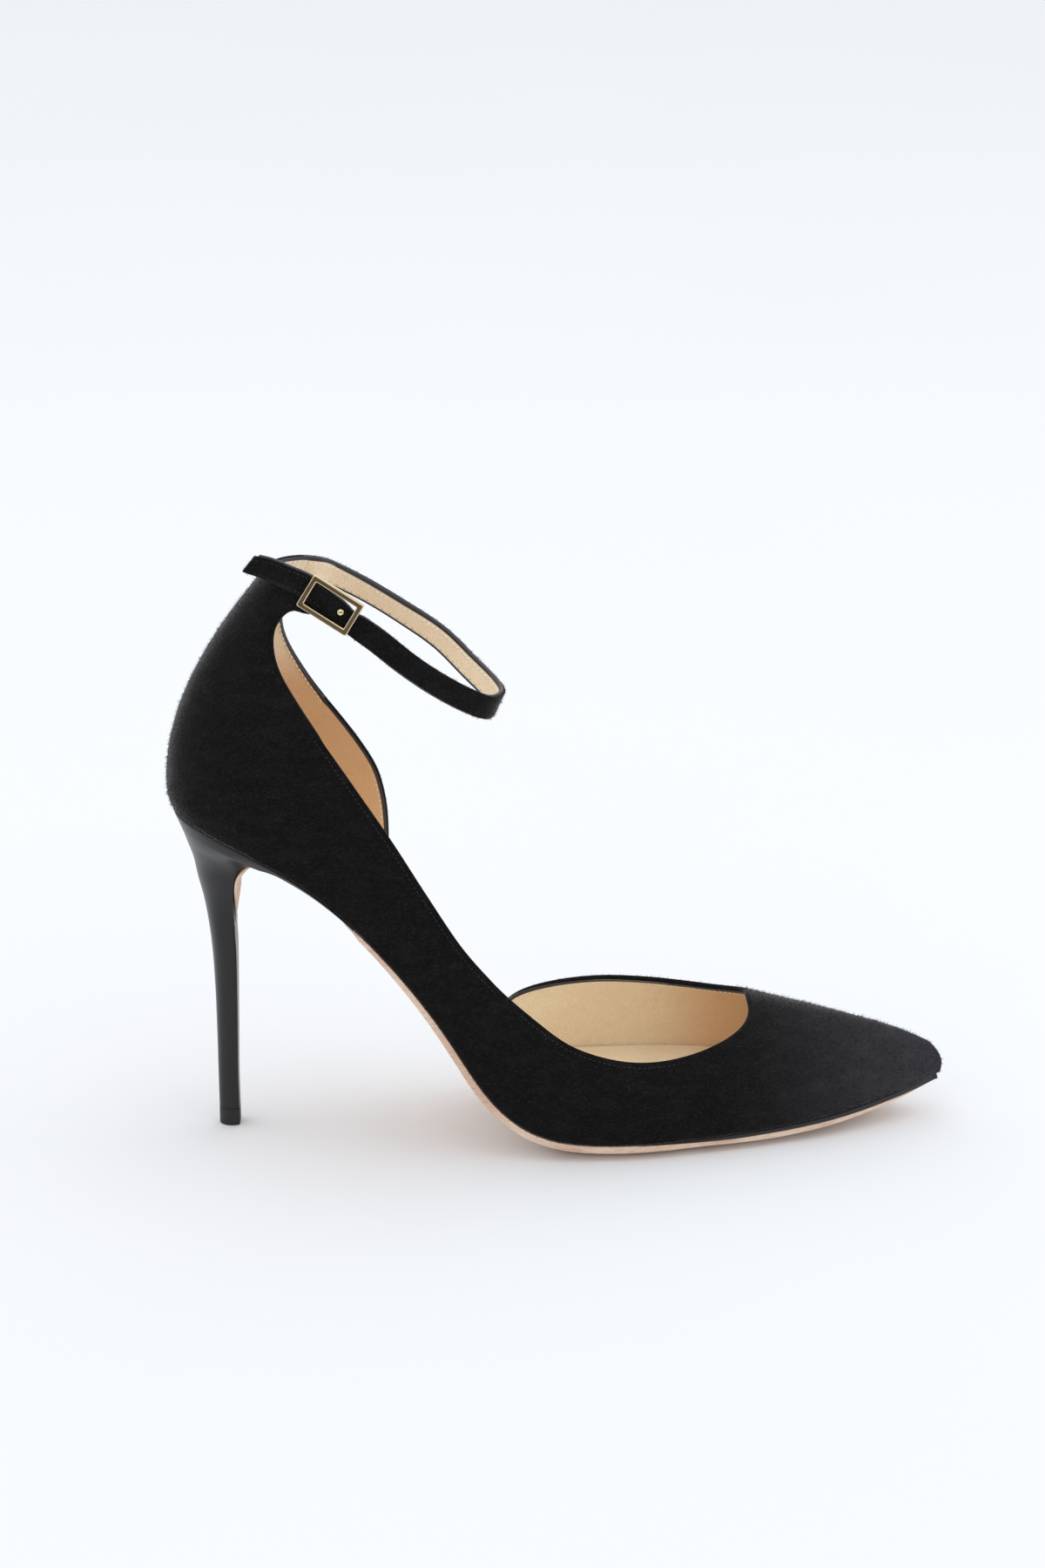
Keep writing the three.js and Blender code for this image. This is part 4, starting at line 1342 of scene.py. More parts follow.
@dataclass
class Upper:
    """Suede upper with its leather lining, bound toplines and stitches."""

    last: Last
    strap: StrapPath
    finishes: Finishes
    wall: float = 1.6
    suede: float = 0.8
    tuck: float = 1.0
    layer_gap: float = 0.05
    fold: float = 0.8
    facing: tuple[float, float] = (0.3, 1.1)
    stitch_pitch: float = 0.8
    lining_seam: Seam = Seam(1.7, 1.05, 0.34)
    suede_seam: Seam = Seam(1.5, 1.0, 0.2)
    nap: Nap = Nap(1.4, 1.0, 0.075, 1.0, (0.55, 0.0, -0.25), 4)
    lint: Nap = Nap(0.004, 1.5, 0.03, 0.35, (0.55, 0.0, -0.25), 9)
    heel_steps: int = 48
    vamp_steps: int = 190
    side_steps: int = 84
    # share of the strap, share of its half width
    tab_end: Rows = ((0.784, -0.9), (0.781, -0.5), (0.783, 0.0), (0.787, 0.5), (0.795, 0.84), (0.812, 0.86))
    # along, share of the instep height over the feather line
    outer_vamp: Rows = (
        (0.7455, 0.7), (0.7487, 0.68), (0.748, 0.655), (0.7425, 0.622), (0.728, 0.583), (0.703, 0.545),
        (0.672, 0.517), (0.632, 0.504), (0.587, 0.52), (0.538, 0.574), (0.503, 0.636),
    )
    inner_vamp: Rows = (
        (0.7455, 0.7), (0.7435, 0.672), (0.734, 0.65), (0.718, 0.634), (0.7, 0.625), (0.666, 0.628), (0.613, 0.644),
        (0.552, 0.644), (0.495, 0.582), (0.457, 0.465), (0.438, 0.359), (0.425, 0.243), (0.411, 0.056), (0.4, -0.22),
    )
    # along, share of the quarter's height over the feather line
    outer_quarter: Rows = (
        (0.438, 0.448), (0.406, 0.455), (0.376, 0.435), (0.332, 0.444), (0.291, 0.486), (0.247, 0.535),
        (0.202, 0.603), (0.168, 0.663), (0.147, 0.713), (0.137, 0.771), (0.137, 0.842), (0.145, 0.897),
        (0.161, 0.9615), (0.182, 1.0), (0.189, 1.013),
    )
    inner_quarter: Rows = (
        (0.273, -0.1), (0.274, 0.036), (0.275, 0.307), (0.271, 0.397), (0.261, 0.464), (0.24, 0.498), (0.214, 0.524),
        (0.185, 0.558), (0.161, 0.616), (0.145, 0.677), (0.138, 0.738), (0.139, 0.808), (0.148, 0.884),
        (0.161, 0.941),
    )
    creases: tuple[Crease, ...] = (
        Crease(128.2, 27.4, 72, 6.0, 0.9, 0.16),
        Crease(131.6, 27.0, 78, 5.0, 0.8, 0.13),
        Crease(134.9, 25.6, 84, 4.6, 0.8, 0.1),
        Crease(125.0, 25.2, 63, 4.0, 0.7, 0.09),
        Crease(114.0, 30.4, 96, 3.4, 0.8, 0.12),
        Crease(92.8, 26.2, 100, 3.4, 0.8, 0.1),
        Crease(139.5, 22.0, 92, 4.0, 0.9, 0.08),
        Crease(101.0, 22.5, 20, 5.0, 1.2, 0.05),
        Crease(47.0, 118.0, -42, 4.0, 0.9, 0.1),
        Crease(52.0, 110.0, -38, 4.0, 0.9, 0.08),
    )

    def _rows(self, rows: Rows, measure: float) -> list[tuple[float, float]]:
        """Side-view points of a topline table."""
        places = [self.last.back + along * self.last.length for along, _ in rows]
        return [(x, float(self.last.feather(x)) + above * measure) for x, (_, above) in zip(places, rows)]

    def outline(self, side: Side) -> Array:
        """Closed side view of what is cut away over one side's topline.

        Args:
            side: The side.

        Returns:
            X and Z of its corners.
        """
        outer = side is Side.OUTER
        vamp = self._rows(self.outer_vamp if outer else self.inner_vamp, self.last.instep)
        quarter = self._rows(self.outer_quarter if outer else self.inner_quarter, self.last.quarter)
        line = SmoothPath(np.array(vamp + quarter)).at(np.linspace(0, 1, 460))
        if outer:
            end = [self.strap.side_point(share, rise) for share, rise in self.tab_end]
        else:
            end = [self.strap.side_point(0, -1), self.strap.side_point(0, 1)]
        over, behind = self.last.collar + self.last.quarter, self.last.back - self.last.quarter
        corners = [(self.last.pivot, self.last.collar), (behind, self.last.collar), (behind, over), (vamp[0][0], over)]
        return np.vstack([line, end, corners])

    def _point(self, side: int, rows: Array, inset: Array) -> Array:
        """Points of the wall at places on the last, with its lower edge rounded under.

        Args:
            side: -1 outside, 1 inside.
            rows: Stations and ribs.
            inset: How far inside the outside.

        Returns:
            The points.
        """
        plain = self.last.point(side, rows[:, 0], rows[:, 1], inset)
        low = np.linalg.norm(plain - self.last.point(side, rows[:, 0], 0 * rows[:, 1], inset), axis=1)
        tuck = self.tuck * (0.5 + 0.5 * smoothstep(rows[:, 0], -0.1, 0.2) - 0.5 * smoothstep(rows[:, 0], 0.8, 1))
        under = np.clip(1 - low / tuck, 0, 1)
        pulled = inset + tuck * (1 - np.sqrt(1 - under**2)) + self.last.pull(rows[:, 0], low)
        return self.last.point(side, rows[:, 0], rows[:, 1], pulled)

    def _patch(self, side: Side) -> Patch:
        """One side of the upper as places on the last, cut to its topline.

        Args:
            side: The side.

        Returns:
            The patch.
        """
        stations = np.concatenate([np.linspace(-1, 0, self.heel_steps + 1)[:-1], eased(self.vamp_steps)])
        ups = np.linspace(0, 1, self.side_steps + 1) ** 1.15
        rows = np.stack(np.meshgrid(stations, ups, indexing="ij"), -1)
        patch = Patch.grid(rows)
        if side is Side.INNER:
            patch.faces = [tuple(reversed(face)) for face in patch.faces]
        points = self.last.point(side.value, patch.rows[:, 0], patch.rows[:, 1])
        return patch.cut(side_distance(points[:, [0, 2]], self.outline(side)))

    def build(self) -> list[Piece]:
        """Makes the upper's pieces.

        Returns:
            Suede, lining, bindings, stitches and nap.
        """
        patches = {side: self._patch(side) for side in Side}
        suede = self._wall("upper_suede", patches, 0.0, self.suede, self.finishes.suede)
        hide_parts("upper")
        lining = self._wall("upper_lining", patches, self.suede + self.layer_gap, self.wall, self.finishes.lining)
        made = [suede, lining, *self._edges(patches)]
        for name, sizes, finish in (
            ("upper_nap", self.nap, self.finishes.nap), ("upper_lint", self.lint, self.finishes.lint),
        ):
            nap = fibres(name, self._skin(patches), sizes, finish)
            made.append(nap)
        return made

    def _skin(self, patches: dict[Side, Patch]) -> Piece:
        """The upper's outside alone, for the nap to grow on.

        Args:
            patches: The two sides.

        Returns:
            The surface.
        """
        points, faces, count = [], [], 0
        for side, patch in patches.items():
            points.append(self._point(side.value, patch.rows, np.zeros(len(patch.rows))))
            faces += [tuple(v + count for v in face) for face in patch.faces]
            count += len(patch.rows)
        return tidied(mesh_piece("skin", np.vstack(points), faces, self.finishes.suede))

    def _wall(
        self, name: str, patches: dict[Side, Patch], outside: float, inside: float, material: Material
    ) -> Piece:
        """One layer of the upper's wall.

        Args:
            name: Name of the layer.
            patches: The two sides.
            outside: Inset of its outer face.
            inside: Inset of its inner face.
            material: Its finish.

        Returns:
            The layer, closed.
        """
        points, faces, count = [], [], 0
        for side, patch in patches.items():
            flat = np.zeros(len(patch.rows))
            if outside > 0:
                lifted = np.column_stack([patch.rows[:, 0], np.maximum(patch.rows[:, 1], 0.014)])
                patch = Patch(lifted, patch.faces, patch.edge)
            front = self._point(side.value, patch.rows, flat + outside)
            folds = sum(crease.at(front) for crease in self.creases) if inside >= self.wall else 0.0
            folds = folds if side is Side.INNER else flat
            back = self._point(side.value, patch.rows, flat + inside - folds)
            wall, rims = shell(front, back, self._sewn(patch, side))
            points.append(wall)
            faces += [tuple(v + count for v in face) for face in rims]
            count += len(wall)
        whole = np.vstack(points)
        x, z = whole[:, 0], whole[:, 2]
        # Painted shade on the lining: low in the quarter's back and towards the toe under the vamp, where little light
        # reaches.
        fibre_tips_and_painted_light = smoothstep(z, 148, 128) * smoothstep(x, 66, 40) + 0.85 * smoothstep(x, 118, 150)
        return tidied(mesh_piece(name, whole, faces, material, attributes={"painted_shade": fibre_tips_and_painted_light}), sharp=50)

    def _sewn(self, patch: Patch, side: Side) -> Patch:
        """The patch with no rim where the two sides meet.

        Args:
            patch: One side.
            side: Which side it is; not used.

        Returns:
            The patch, with fewer borders.
        """
        rows = patch.rows
        meets = (np.abs(rows[:, 0] + 1) < 1e-9) | ((np.abs(rows[:, 1] - 1) < 1e-9) & (rows[:, 0] > 0.3))
        meets |= rows[:, 0] > 1 - 1e-9
        joined = Patch(rows, patch.faces, patch.edge)
        borders = [(a, b) for a, b in patch.borders() if not (meets[a] and meets[b])]
        joined.borders = lambda: borders
        return joined

    def _edges(self, patches: dict[Side, Patch]) -> list[Piece]:
        """Bindings and stitches along the toplines.

        Args:
            patches: The two sides.

        Returns:
            The pieces.
        """
        half, finishes = self.wall / 2, self.finishes
        runs = [part for run in self._toplines(patches) for part in self._free_parts(run)]
        made = []
        for i, (rim, wall, over) in enumerate(runs, 1):
            rolled = piping(f"topline_fold_{i}", rim - 0.1 * over, wall, self.wall + 0.1, self.fold, finishes.nap)
            inside = rim - 0.5 * over + wall * (half + 0.02)
            turned = piping(f"topline_facing_{i}", inside, wall, *self.facing, finishes.binding)
            inside = rim - 1.35 * over + wall * (half + 0.06)
            thread = stitches(f"lining_stitches_{i}", inside, wall, self.lining_seam, finishes.pale_thread)
            outside = rim - 1.5 * over - wall * (half + 0.02)
            sewn = stitches(f"suede_stitches_{i}", outside, -wall, self.suede_seam, finishes.dark_thread)
            for piece in (rolled, turned, thread, sewn):
                made.append(piece)
        return made

    def _free_parts(self, run: tuple[Array, Array, Array]) -> Runs:
        """Parts of a run of the topline that the strap's root leaves free.

        Args:
            run: Its points and directions.

        Returns:
            The same for each part.
        """
        away = np.abs(run[0] - self.strap.frames(0)[0][0])
        free = ~((away[:, 0] < 1.3) & (away[:, 2] < 3.3))
        bounds = np.flatnonzero(np.diff(np.concatenate([[False], free, [False]]).astype(int)))
        return [tuple(rows[a:b] for rows in run) for a, b in zip(bounds[::2], bounds[1::2]) if b - a > 8]

    def _toplines(self, patches: dict[Side, Patch]) -> Runs:
        """Runs of the upper's cut edge between its corners.

        Args:
            patches: The two sides.

        Returns:
            For each run its points in the middle of the wall, the directions through the wall towards the foot,
            and the directions over the edge.
        """
        lines = []
        for side, patch in patches.items():
            outer, inner = (self.last.point(side.value, *patch.rows.T, inset) for inset in (0.0, self.wall))
            edges = [(a, b) for a, b in patch.borders() if patch.edge[a] and patch.edge[b]]
            for chain in chains(edges):
                ends = (outer[chain], inner[chain])
                if side is Side.INNER:
                    ends = tuple(line[::-1] for line in ends)
                lines.append(ends)
        runs = []
        for outer, inner in self._join(lines):
            outer, inner = resampled(outer, self.stitch_pitch, inner)
            middle, wall = (outer + inner) / 2, unit(inner - outer)
            bounds = [0, *self._corners(middle), len(middle) - 1]
            for first, last in zip(bounds, bounds[1:]):
                if last - first < 8:
                    continue
                rim, through = softened(middle[first : last + 1], 3), softened(wall[first : last + 1], 3)
                over = unit(np.cross(np.gradient(rim, axis=0), through))
                through = unit(np.cross(over, np.gradient(rim, axis=0)))
                through *= np.sign(np.sum(through * wall[first : last + 1], axis=1, keepdims=True))
                runs.append((rim, through, over if np.mean(over[:, 2]) >= 0 else -over))
        return runs

    @staticmethod
    def _join(lines: list[tuple[Array, Array]]) -> list[tuple[Array, Array]]:
        """Joins lines whose ends meet, whichever way they run.

        Args:
            lines: Outer and inner line of each edge.

        Returns:
            The joined pairs.
        """
        left, joined = list(lines), []
        while left:
            outer, inner = left.pop(0)
            i = 0
            while i < len(left):
                for a, b in (left[i], tuple(line[::-1] for line in left[i])):
                    if np.linalg.norm(outer[-1] - a[0]) < 1.2:
                        outer, inner = np.vstack([outer, a]), np.vstack([inner, b])
                    elif np.linalg.norm(a[-1] - outer[0]) < 1.2:
                        outer, inner = np.vstack([a, outer]), np.vstack([b, inner])
                    else:
                        continue
                    left.pop(i)
                    i = -1
                    break
                i += 1
            joined.append((outer, inner))
        return joined

    @staticmethod
    def _corners(line: Array) -> list[int]:
        """Places where a line turns sharply.

        Args:
            line: Its points.

        Returns:
            Numbers of the points.
        """
        reach = 2
        found: list[int] = []
        turns = np.zeros(len(line))
        for i in range(reach, len(line) - reach):
            before, after = unit(line[i] - line[i - reach]), unit(line[i + reach] - line[i])
            turns[i] = math.degrees(math.acos(float(np.clip(before @ after, -1, 1))))
        for i in range(reach, len(line) - reach):
            if turns[i] > 48 and turns[i] == turns[max(0, i - 4) : i + 5].max():
                found.append(i)
        return found


@dataclass
class Sock:
    """Leather sock on the insole board."""

    last: Last
    finishes: Finishes
    inset: float = 1.62
    thickness: float = 3.6
    cup: float = 1.5
    heel_steps: int = 39
    steps: int = 200
    columns: int = 30

    def build(self) -> Piece:
        """Makes the sock with its dished top and its board under it.

        Returns:
            The piece that stands for the insole.
        """
        stations = np.concatenate([np.linspace(-1, 0, self.heel_steps + 1)[:-1], eased(self.steps)])
        outer, inner = (self.last.point(side.value, stations, 0.0, self.inset) for side in Side)
        along = (outer[:, 0] - self.last.back) / self.last.length
        tilt = np.radians(np.where(stations < 0, self.last.heel_row[9], self.last.section[8](along)))
        lift = np.stack([np.sin(tilt), 0 * tilt, np.cos(tilt)], 1)
        across = np.sin(np.linspace(-math.pi / 2, math.pi / 2, self.columns + 1))
        rings = []
        for low, high, up in zip(outer, inner, lift):
            base = (low + high) / 2 + np.outer(across, (high - low) / 2)
            rise = self.thickness + self.cup * np.abs(across) ** 3
            top = base + rise[:, None] * up
            rings.append(np.vstack([base, top[::-1]]))
        made = lofted("insole_sock", rings, self.finishes.sock, 50)
        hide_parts("insole")
        return made


@dataclass
class Bottom:
    """Outsole with its flap down the heel's breast, and the dressed band on its edge."""

    last: Last
    finishes: Finishes
    gap: float = 0.06
    ball: float = 4.9
    edge: float = 1.6
    bevel: float = 2.5
    bevel_share: float = 0.6
    flat_share: float = 3.5
    flap: float = 1.1
    flap_thin: float = 0.55
    flap_inset: float = 2.4
    flap_lift: float = 0.35
    start: float = 0.01
    toe_drawn: float = 0.8
    toe_edge: float = 0.9
    flap_steps: int = 90
    steps: int = 169
    # along, share of the heel height, share of the seat width
    breast_rows: Rows = (
        (0.0825, 0.63, 0.01), (0.0825, 0.675, 0.07), (0.0825, 0.718, 0.135), (0.083, 0.763, 0.195),
        (0.0868, 0.813, 0.265), (0.097, 0.852, 0.34), (0.115, 0.876, 0.41), (0.139, 0.871, 0.435),
        (0.16, 0.843, 0.44), (0.182, 0.809, 0.44), (0.205, 0.77, 0.44), (0.225, 0.731, 0.445), (0.24, 0.702, 0.455),
    )
    depth_rows: Rows = (
        (0.2, 0.24), (0.27, 0.27), (0.33, 0.38), (0.39, 0.46), (0.45, 0.62), (0.51, 0.9), (0.57, 1.0), (0.66, 1.0),
        (0.76, 0.86), (0.88, 0.66), (0.96, 0.46), (1.0, 0.3),
    )

    def breast(self, share: Array) -> Array:
        """Points of the breast line: X, half width and Z.

        Args:
            share: Shares of its way, from the flap's foot.

        Returns:
            The points.
        """
        rows = np.array(self.breast_rows)
        sizes = [self.last.length, self.last.seat_width, self.last.heel_height]
        return SmoothPath(rows[:, [0, 2, 1]] * sizes + [self.last.back, 0, 0]).at(share)

    def _ring(self, at: Callable[[int, float, float], Array], depth: float, edge: float) -> Array:
        """Ring of the sole: upper face, the step of its edge, the bevel and the underside.

        Args:
            at: Gives a point from its side, inset and depth.
            depth: How thick the sole is.
            edge: How high its step is.

        Returns:
            The ring.
        """
        step = min(edge, 0.7 * depth)
        low = max(step + 0.08 * depth, self.bevel_share * depth)
        bevel = self.bevel * depth / self.ball
        soft = min(0.16, step / 3)
        profile = (
            (soft, 0.0), (0.0, soft), (0.0, step - soft / 2), (soft / 2, step + soft), (bevel * 0.55, (step + low) / 2),
            (bevel - soft, low - soft), (bevel + soft, low + soft / 2), (bevel * 1.6, low + (depth - low) * 0.45),
            (bevel * 2.5, low + (depth - low) * 0.82), (bevel * self.flat_share, depth),
        )
        outer = [at(-1, inset, down) for inset, down in profile]
        inner = [at(1, inset, down) for inset, down in profile]
        under = [outer[-1] + (inner[-1] - outer[-1]) * share for share in (0.2, 0.4, 0.6, 0.8)]
        above = [inner[0] + (outer[0] - inner[0]) * share for share in (0.25, 0.5, 0.75)]
        return np.array(outer + under + inner[::-1] + above)

    def build(self) -> list[Piece]:
        """Makes the outsole and its edge band.

        Returns:
            The outsole and the band.
        """
        rings = self._flap_rings()
        depth_of = splines(self.depth_rows)[0]
        first = self.last.station(self.breast_rows[-1][0] + self.start)
        rings += [self._foot_ring(float(station), depth_of) for station in first + (1 - first) * eased(self.steps)]
        sole = lofted("outsole_leather", rings, self.finishes.sole, 42)
        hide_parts("outsole")
        return [sole, self._band()]

    def _flap_rings(self) -> list[Array]:
        """Rings of the flap up the heel's breast, thinner and drawn in under the wing.

        Returns:
            The rings, from the flap's foot to the sole.
        """
        shares = np.linspace(0, 1, self.flap_steps)
        line = self.breast(shares)
        ahead = np.gradient(line, axis=0)
        under = smoothstep(shares, 0.38, 0.48) * (1 - smoothstep(shares, 0.85, 1.0))
        thin = (0.12 + 0.88 * smoothstep(shares, 0.0, 0.22)) * (1 - self.flap_thin * under)
        line[:, 1] -= self.flap_inset * under
        line[:, 2] += self.flap_lift * under
        rings = []
        for (x, half, z), (dx, _, dz), share in zip(line, ahead, thin):
            away = unit(np.array([dz, 0, -dx]))
            face = np.array([x, 0, z]) + away * 0.3 * share

            def at(side: int, inset: float, down: float) -> Array:
                """Point of the flap's ring."""
                point = face + away * down
                return np.array([point[0], side * max(0.0, half - inset), point[2]])

            rings.append(self._ring(at, self.flap * share, self.flap / 2))
        return rings

    def _foot_ring(self, station: float, depth_of: Spline) -> Array:
        """Ring of the sole under the foot.

        Args:
            station: Its station on the last.
            depth_of: Share of the sole's depth along the last.

        Returns:
            The ring.
        """

        def at(side: int, inset: float, down: float) -> Array:
            """Point of the ring, square to the feather line and never under the floor.

            Args:
                side: -1 outside, 1 inside.
                inset: How far in from the edge.
                down: How far down.

            Returns:
                The point.
            """
            point = self.last.edge(side, station, inset + float(self._drawn(station)))
            away = unit(np.array([self.last.slope(point[0]), 0, -1.0]))
            point = point + away * ((0.3 if down > 0 else self.gap) + down)
            return np.array([point[0], point[1], max(0.0, point[2])])

        along = (float(self.last.point(1, station)[0]) - self.last.back) / self.last.length
        grown = self.toe_edge * float(smoothstep(station, self.last.station(0.64), self.last.station(0.8)))
        return self._ring(at, self.ball * float(depth_of(along)), self.edge + grown)

    def _drawn(self, station: Array) -> Array:
        """How far the sole's edge stays behind the feather line at the toe."""
        return self.toe_drawn * smoothstep(station, 0.93, 1.0)

    def _band(self) -> Piece:
        """The black band on the upper part of the forefoot's edge, broader at the toe.

        Returns:
            The piece.
        """
        near = np.linspace(self.last.station(0.6), 1, 150)
        drawn = self._drawn(near)
        back = slice(-2, None, -1)
        line = np.vstack([self.last.edge(-1, near, drawn), self.last.edge(1, near[back], drawn[back])])
        place = np.concatenate([near, near[back]])[:, None]
        line, place = resampled(line, 0.9, place)
        out = unit(np.cross(np.gradient(line, axis=0), [0, 0, 1.0]))
        begins = smoothstep(place, self.last.station(0.6), self.last.station(0.74))
        deep = 0.1 + 1.1 * begins + 0.3 * smoothstep(place, self.last.station(0.76), 0.9)
        deep = deep + 0.25 * smoothstep(place, 0.9, 0.99)
        profile = (
            (-0.6, 0.02), (-0.1, 0.0), (0.06, 0.1), (0.12, 0.35), (0.12, 0.7), (0.08, 0.94), (0.0, 1.0), (-0.6, 1.0),
        )
        slope = self.last.slope(line[:, 0])
        down = unit(np.stack([slope, 0 * slope, 0 * slope - 1], 1))
        rings = np.stack([line + out * side * begins**0.3 + down * (deep * share) for side, share in profile], 1)
        band = lofted("sole_edge_band", rings, self.finishes.rand, 60)
        return band


@dataclass
class Heel:
    """Slim lacquered heel and its top piece."""

    last: Last
    bottom: Bottom
    finishes: Finishes
    tip_height: float = 5.4
    tip_length: float = 6.1
    tip_width: float = 6.5
    flat_breast: float = 50.0
    wing_share: float = 0.3
    gap: float = 0.12
    around: int = 44
    between: int = 12
    # back height, rear, front, half, slope
    rows: Rows = (
        (0.966, -0.262, 0.5, 0.455, 1.0), (0.935, -0.236, 0.33, 0.395, 0.85), (0.893, -0.208, 0.25, 0.325, 0.6),
        (0.845, -0.177, 0.19, 0.27, 0.3), (0.787, -0.155, 0.14, 0.222, 0.1), (0.718, -0.123, 0.1, 0.172, 0.0),
        (0.64, -0.098, 0.062, 0.137, 0.0), (0.551, -0.08, 0.064, 0.115, 0.0), (0.433, -0.069, 0.063, 0.095, 0.0),
        (0.295, -0.064, 0.06, 0.08, 0.0), (0.157, -0.062, 0.057, 0.07, 0.0),
    )

    def _outline(self, rear: float, front: float, half: float) -> Array:
        """Half outline of a section: X and Y from its flat breast to its round back.

        Args:
            rear: X of its back.
            front: X of its breast.
            half: Half its width.

        Returns:
            The points.
        """
        start = math.radians(self.flat_breast)
        angle = np.linspace(start, math.pi, self.around)
        x = rear + (front - rear) * (1 + np.cos(angle)) / (1 + math.cos(start))
        return np.stack([x, half * np.sin(angle)], 1)

    def _tracks(self) -> Array:
        """Rings of half outlines down the outer side, then the inner.

        Returns:
            The rings of both sides.
        """
        share = np.linspace(0, 1, self.around)
        wing = self.last.station(self.bottom.breast_rows[-1][0])
        behind = (share - self.wing_share) / (1 - self.wing_share)
        stations = np.where(share < self.wing_share, wing * (1 - share / self.wing_share), -behind)
        sides = []
        for side in (-1, 1):
            rings = []
            for inset, drop in ((1.0, -0.1), (0.12, self.gap)):
                rings.append(self.last.edge(side, stations, inset) - np.array([0, 0, drop]))
            for back, *across, slope in self.rows:
                flat = self._outline(*(part * self.last.seat_width for part in across))
                tilt = self.last.feather(flat[:, 0]) - self.last.feather(across[0] * self.last.seat_width)
                rings.append(np.stack([flat[:, 0], side * flat[:, 1], back * self.last.heel_height + slope * tilt], 1))
            flat = self._outline(-self.tip_length / 2, self.tip_length / 2, self.tip_width / 2)
            foot = np.full(len(flat), self.tip_height + self.gap)
            rings.append(np.stack([flat[:, 0], side * flat[:, 1], foot], 1))
            sides.append(rings)
        return np.array(sides)

    def _dense(self, track: Array) -> Array:
        """More rings between those of one side, smooth from the seat to the tip."""
        share = np.linspace(0, 1, self.between * (len(track) - 1) + 1)
        return np.stack([SmoothPath(track[:, i]).at(share) for i in range(track.shape[1])], 1)

    def build(self) -> list[Piece]:
        """Makes the heel and its top piece.

        Returns:
            Both pieces.
        """
        outer, inner = (self._dense(track) for track in self._tracks())
        rings = np.concatenate([outer, inner[:, ::-1]], 1)
        points, faces = loft(rings)
        body = Patch(points, faces, np.zeros(len(points), bool))
        line = self.bottom.breast(np.linspace(0, 1, 240))[:, [0, 2]]
        ahead = self.last.pivot + self.last.seat_width
        outline = np.vstack([line, [(ahead, line[-1, 1]), (ahead, line[0, 1])]])
        cut = body.cut(side_distance(body.rows[:, [0, 2]], outline))
        run = np.array([v for chain in chains(cut.borders()) for v in chain[:-1]])
        faces = cut.faces + self._breast_faces(cut.rows, run, line)
        heel = tidied(mesh_piece("heel_body", cut.rows, faces, self.finishes.heel), sharp=38)
        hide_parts("heel")
        return [heel, self._top_piece()]

    @staticmethod
    def _breast_faces(rows: Array, run: Array, line: Array) -> Faces:
        """Faces across the breast between its two edges.

        Args:
            rows: Points of the cut heel.
            run: The cut edge's points.
            line: Side view of the breast, from its foot to the wing.

        Returns:
            Triangles between both edges.
        """
        place = lengths(line)
        at = [place[np.argmin(np.linalg.norm(line - rows[v][[0, 2]], axis=1))] for v in run]
        sides = [sorted((at[i], v) for i, v in enumerate(run) if rows[v][1] * side > 0) for side in (-1, 1)]
        (outer, inner), faces = sides, []
        i = j = 0
        while i < len(outer) - 1 or j < len(inner) - 1:
            step_outer = j == len(inner) - 1 or (i < len(outer) - 1 and outer[i + 1][0] <= inner[j + 1][0])
            if step_outer:
                faces.append((outer[i][1], outer[i + 1][1], inner[j][1]))
                i += 1
            else:
                faces.append((outer[i][1], inner[j + 1][1], inner[j][1]))
                j += 1
        return faces

    def _top_piece(self) -> Piece:
        """The rubber top piece, a little proud of the heel, with its trimmed upper rim.

        Returns:
            The piece.
        """
        levels = ((0.0, -0.25), (0.12, -0.05), (0.35, 0.02), (4.75, 0.02), (5.05, 0.0), (5.28, -0.08), (5.4, -0.25))
        rings = []
        for level, out in levels:
            flat = self._outline(-self.tip_length / 2 - out, self.tip_length / 2 + out, self.tip_width / 2 + out)
            ring = np.vstack([flat * [1, -1], flat[::-1]])
            ragged = 0.14 * np.sin(7 * np.arange(len(ring)) ** 1.3) * (level > 5) if level < self.tip_height else 0
            height = np.full(len(ring), level) + ragged
            rings.append(np.column_stack([ring, np.minimum(height, self.tip_height)]))
        made = lofted("heel_top_piece", rings, self.finishes.rubber, 60)
        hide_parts("heel_tip")
        return made


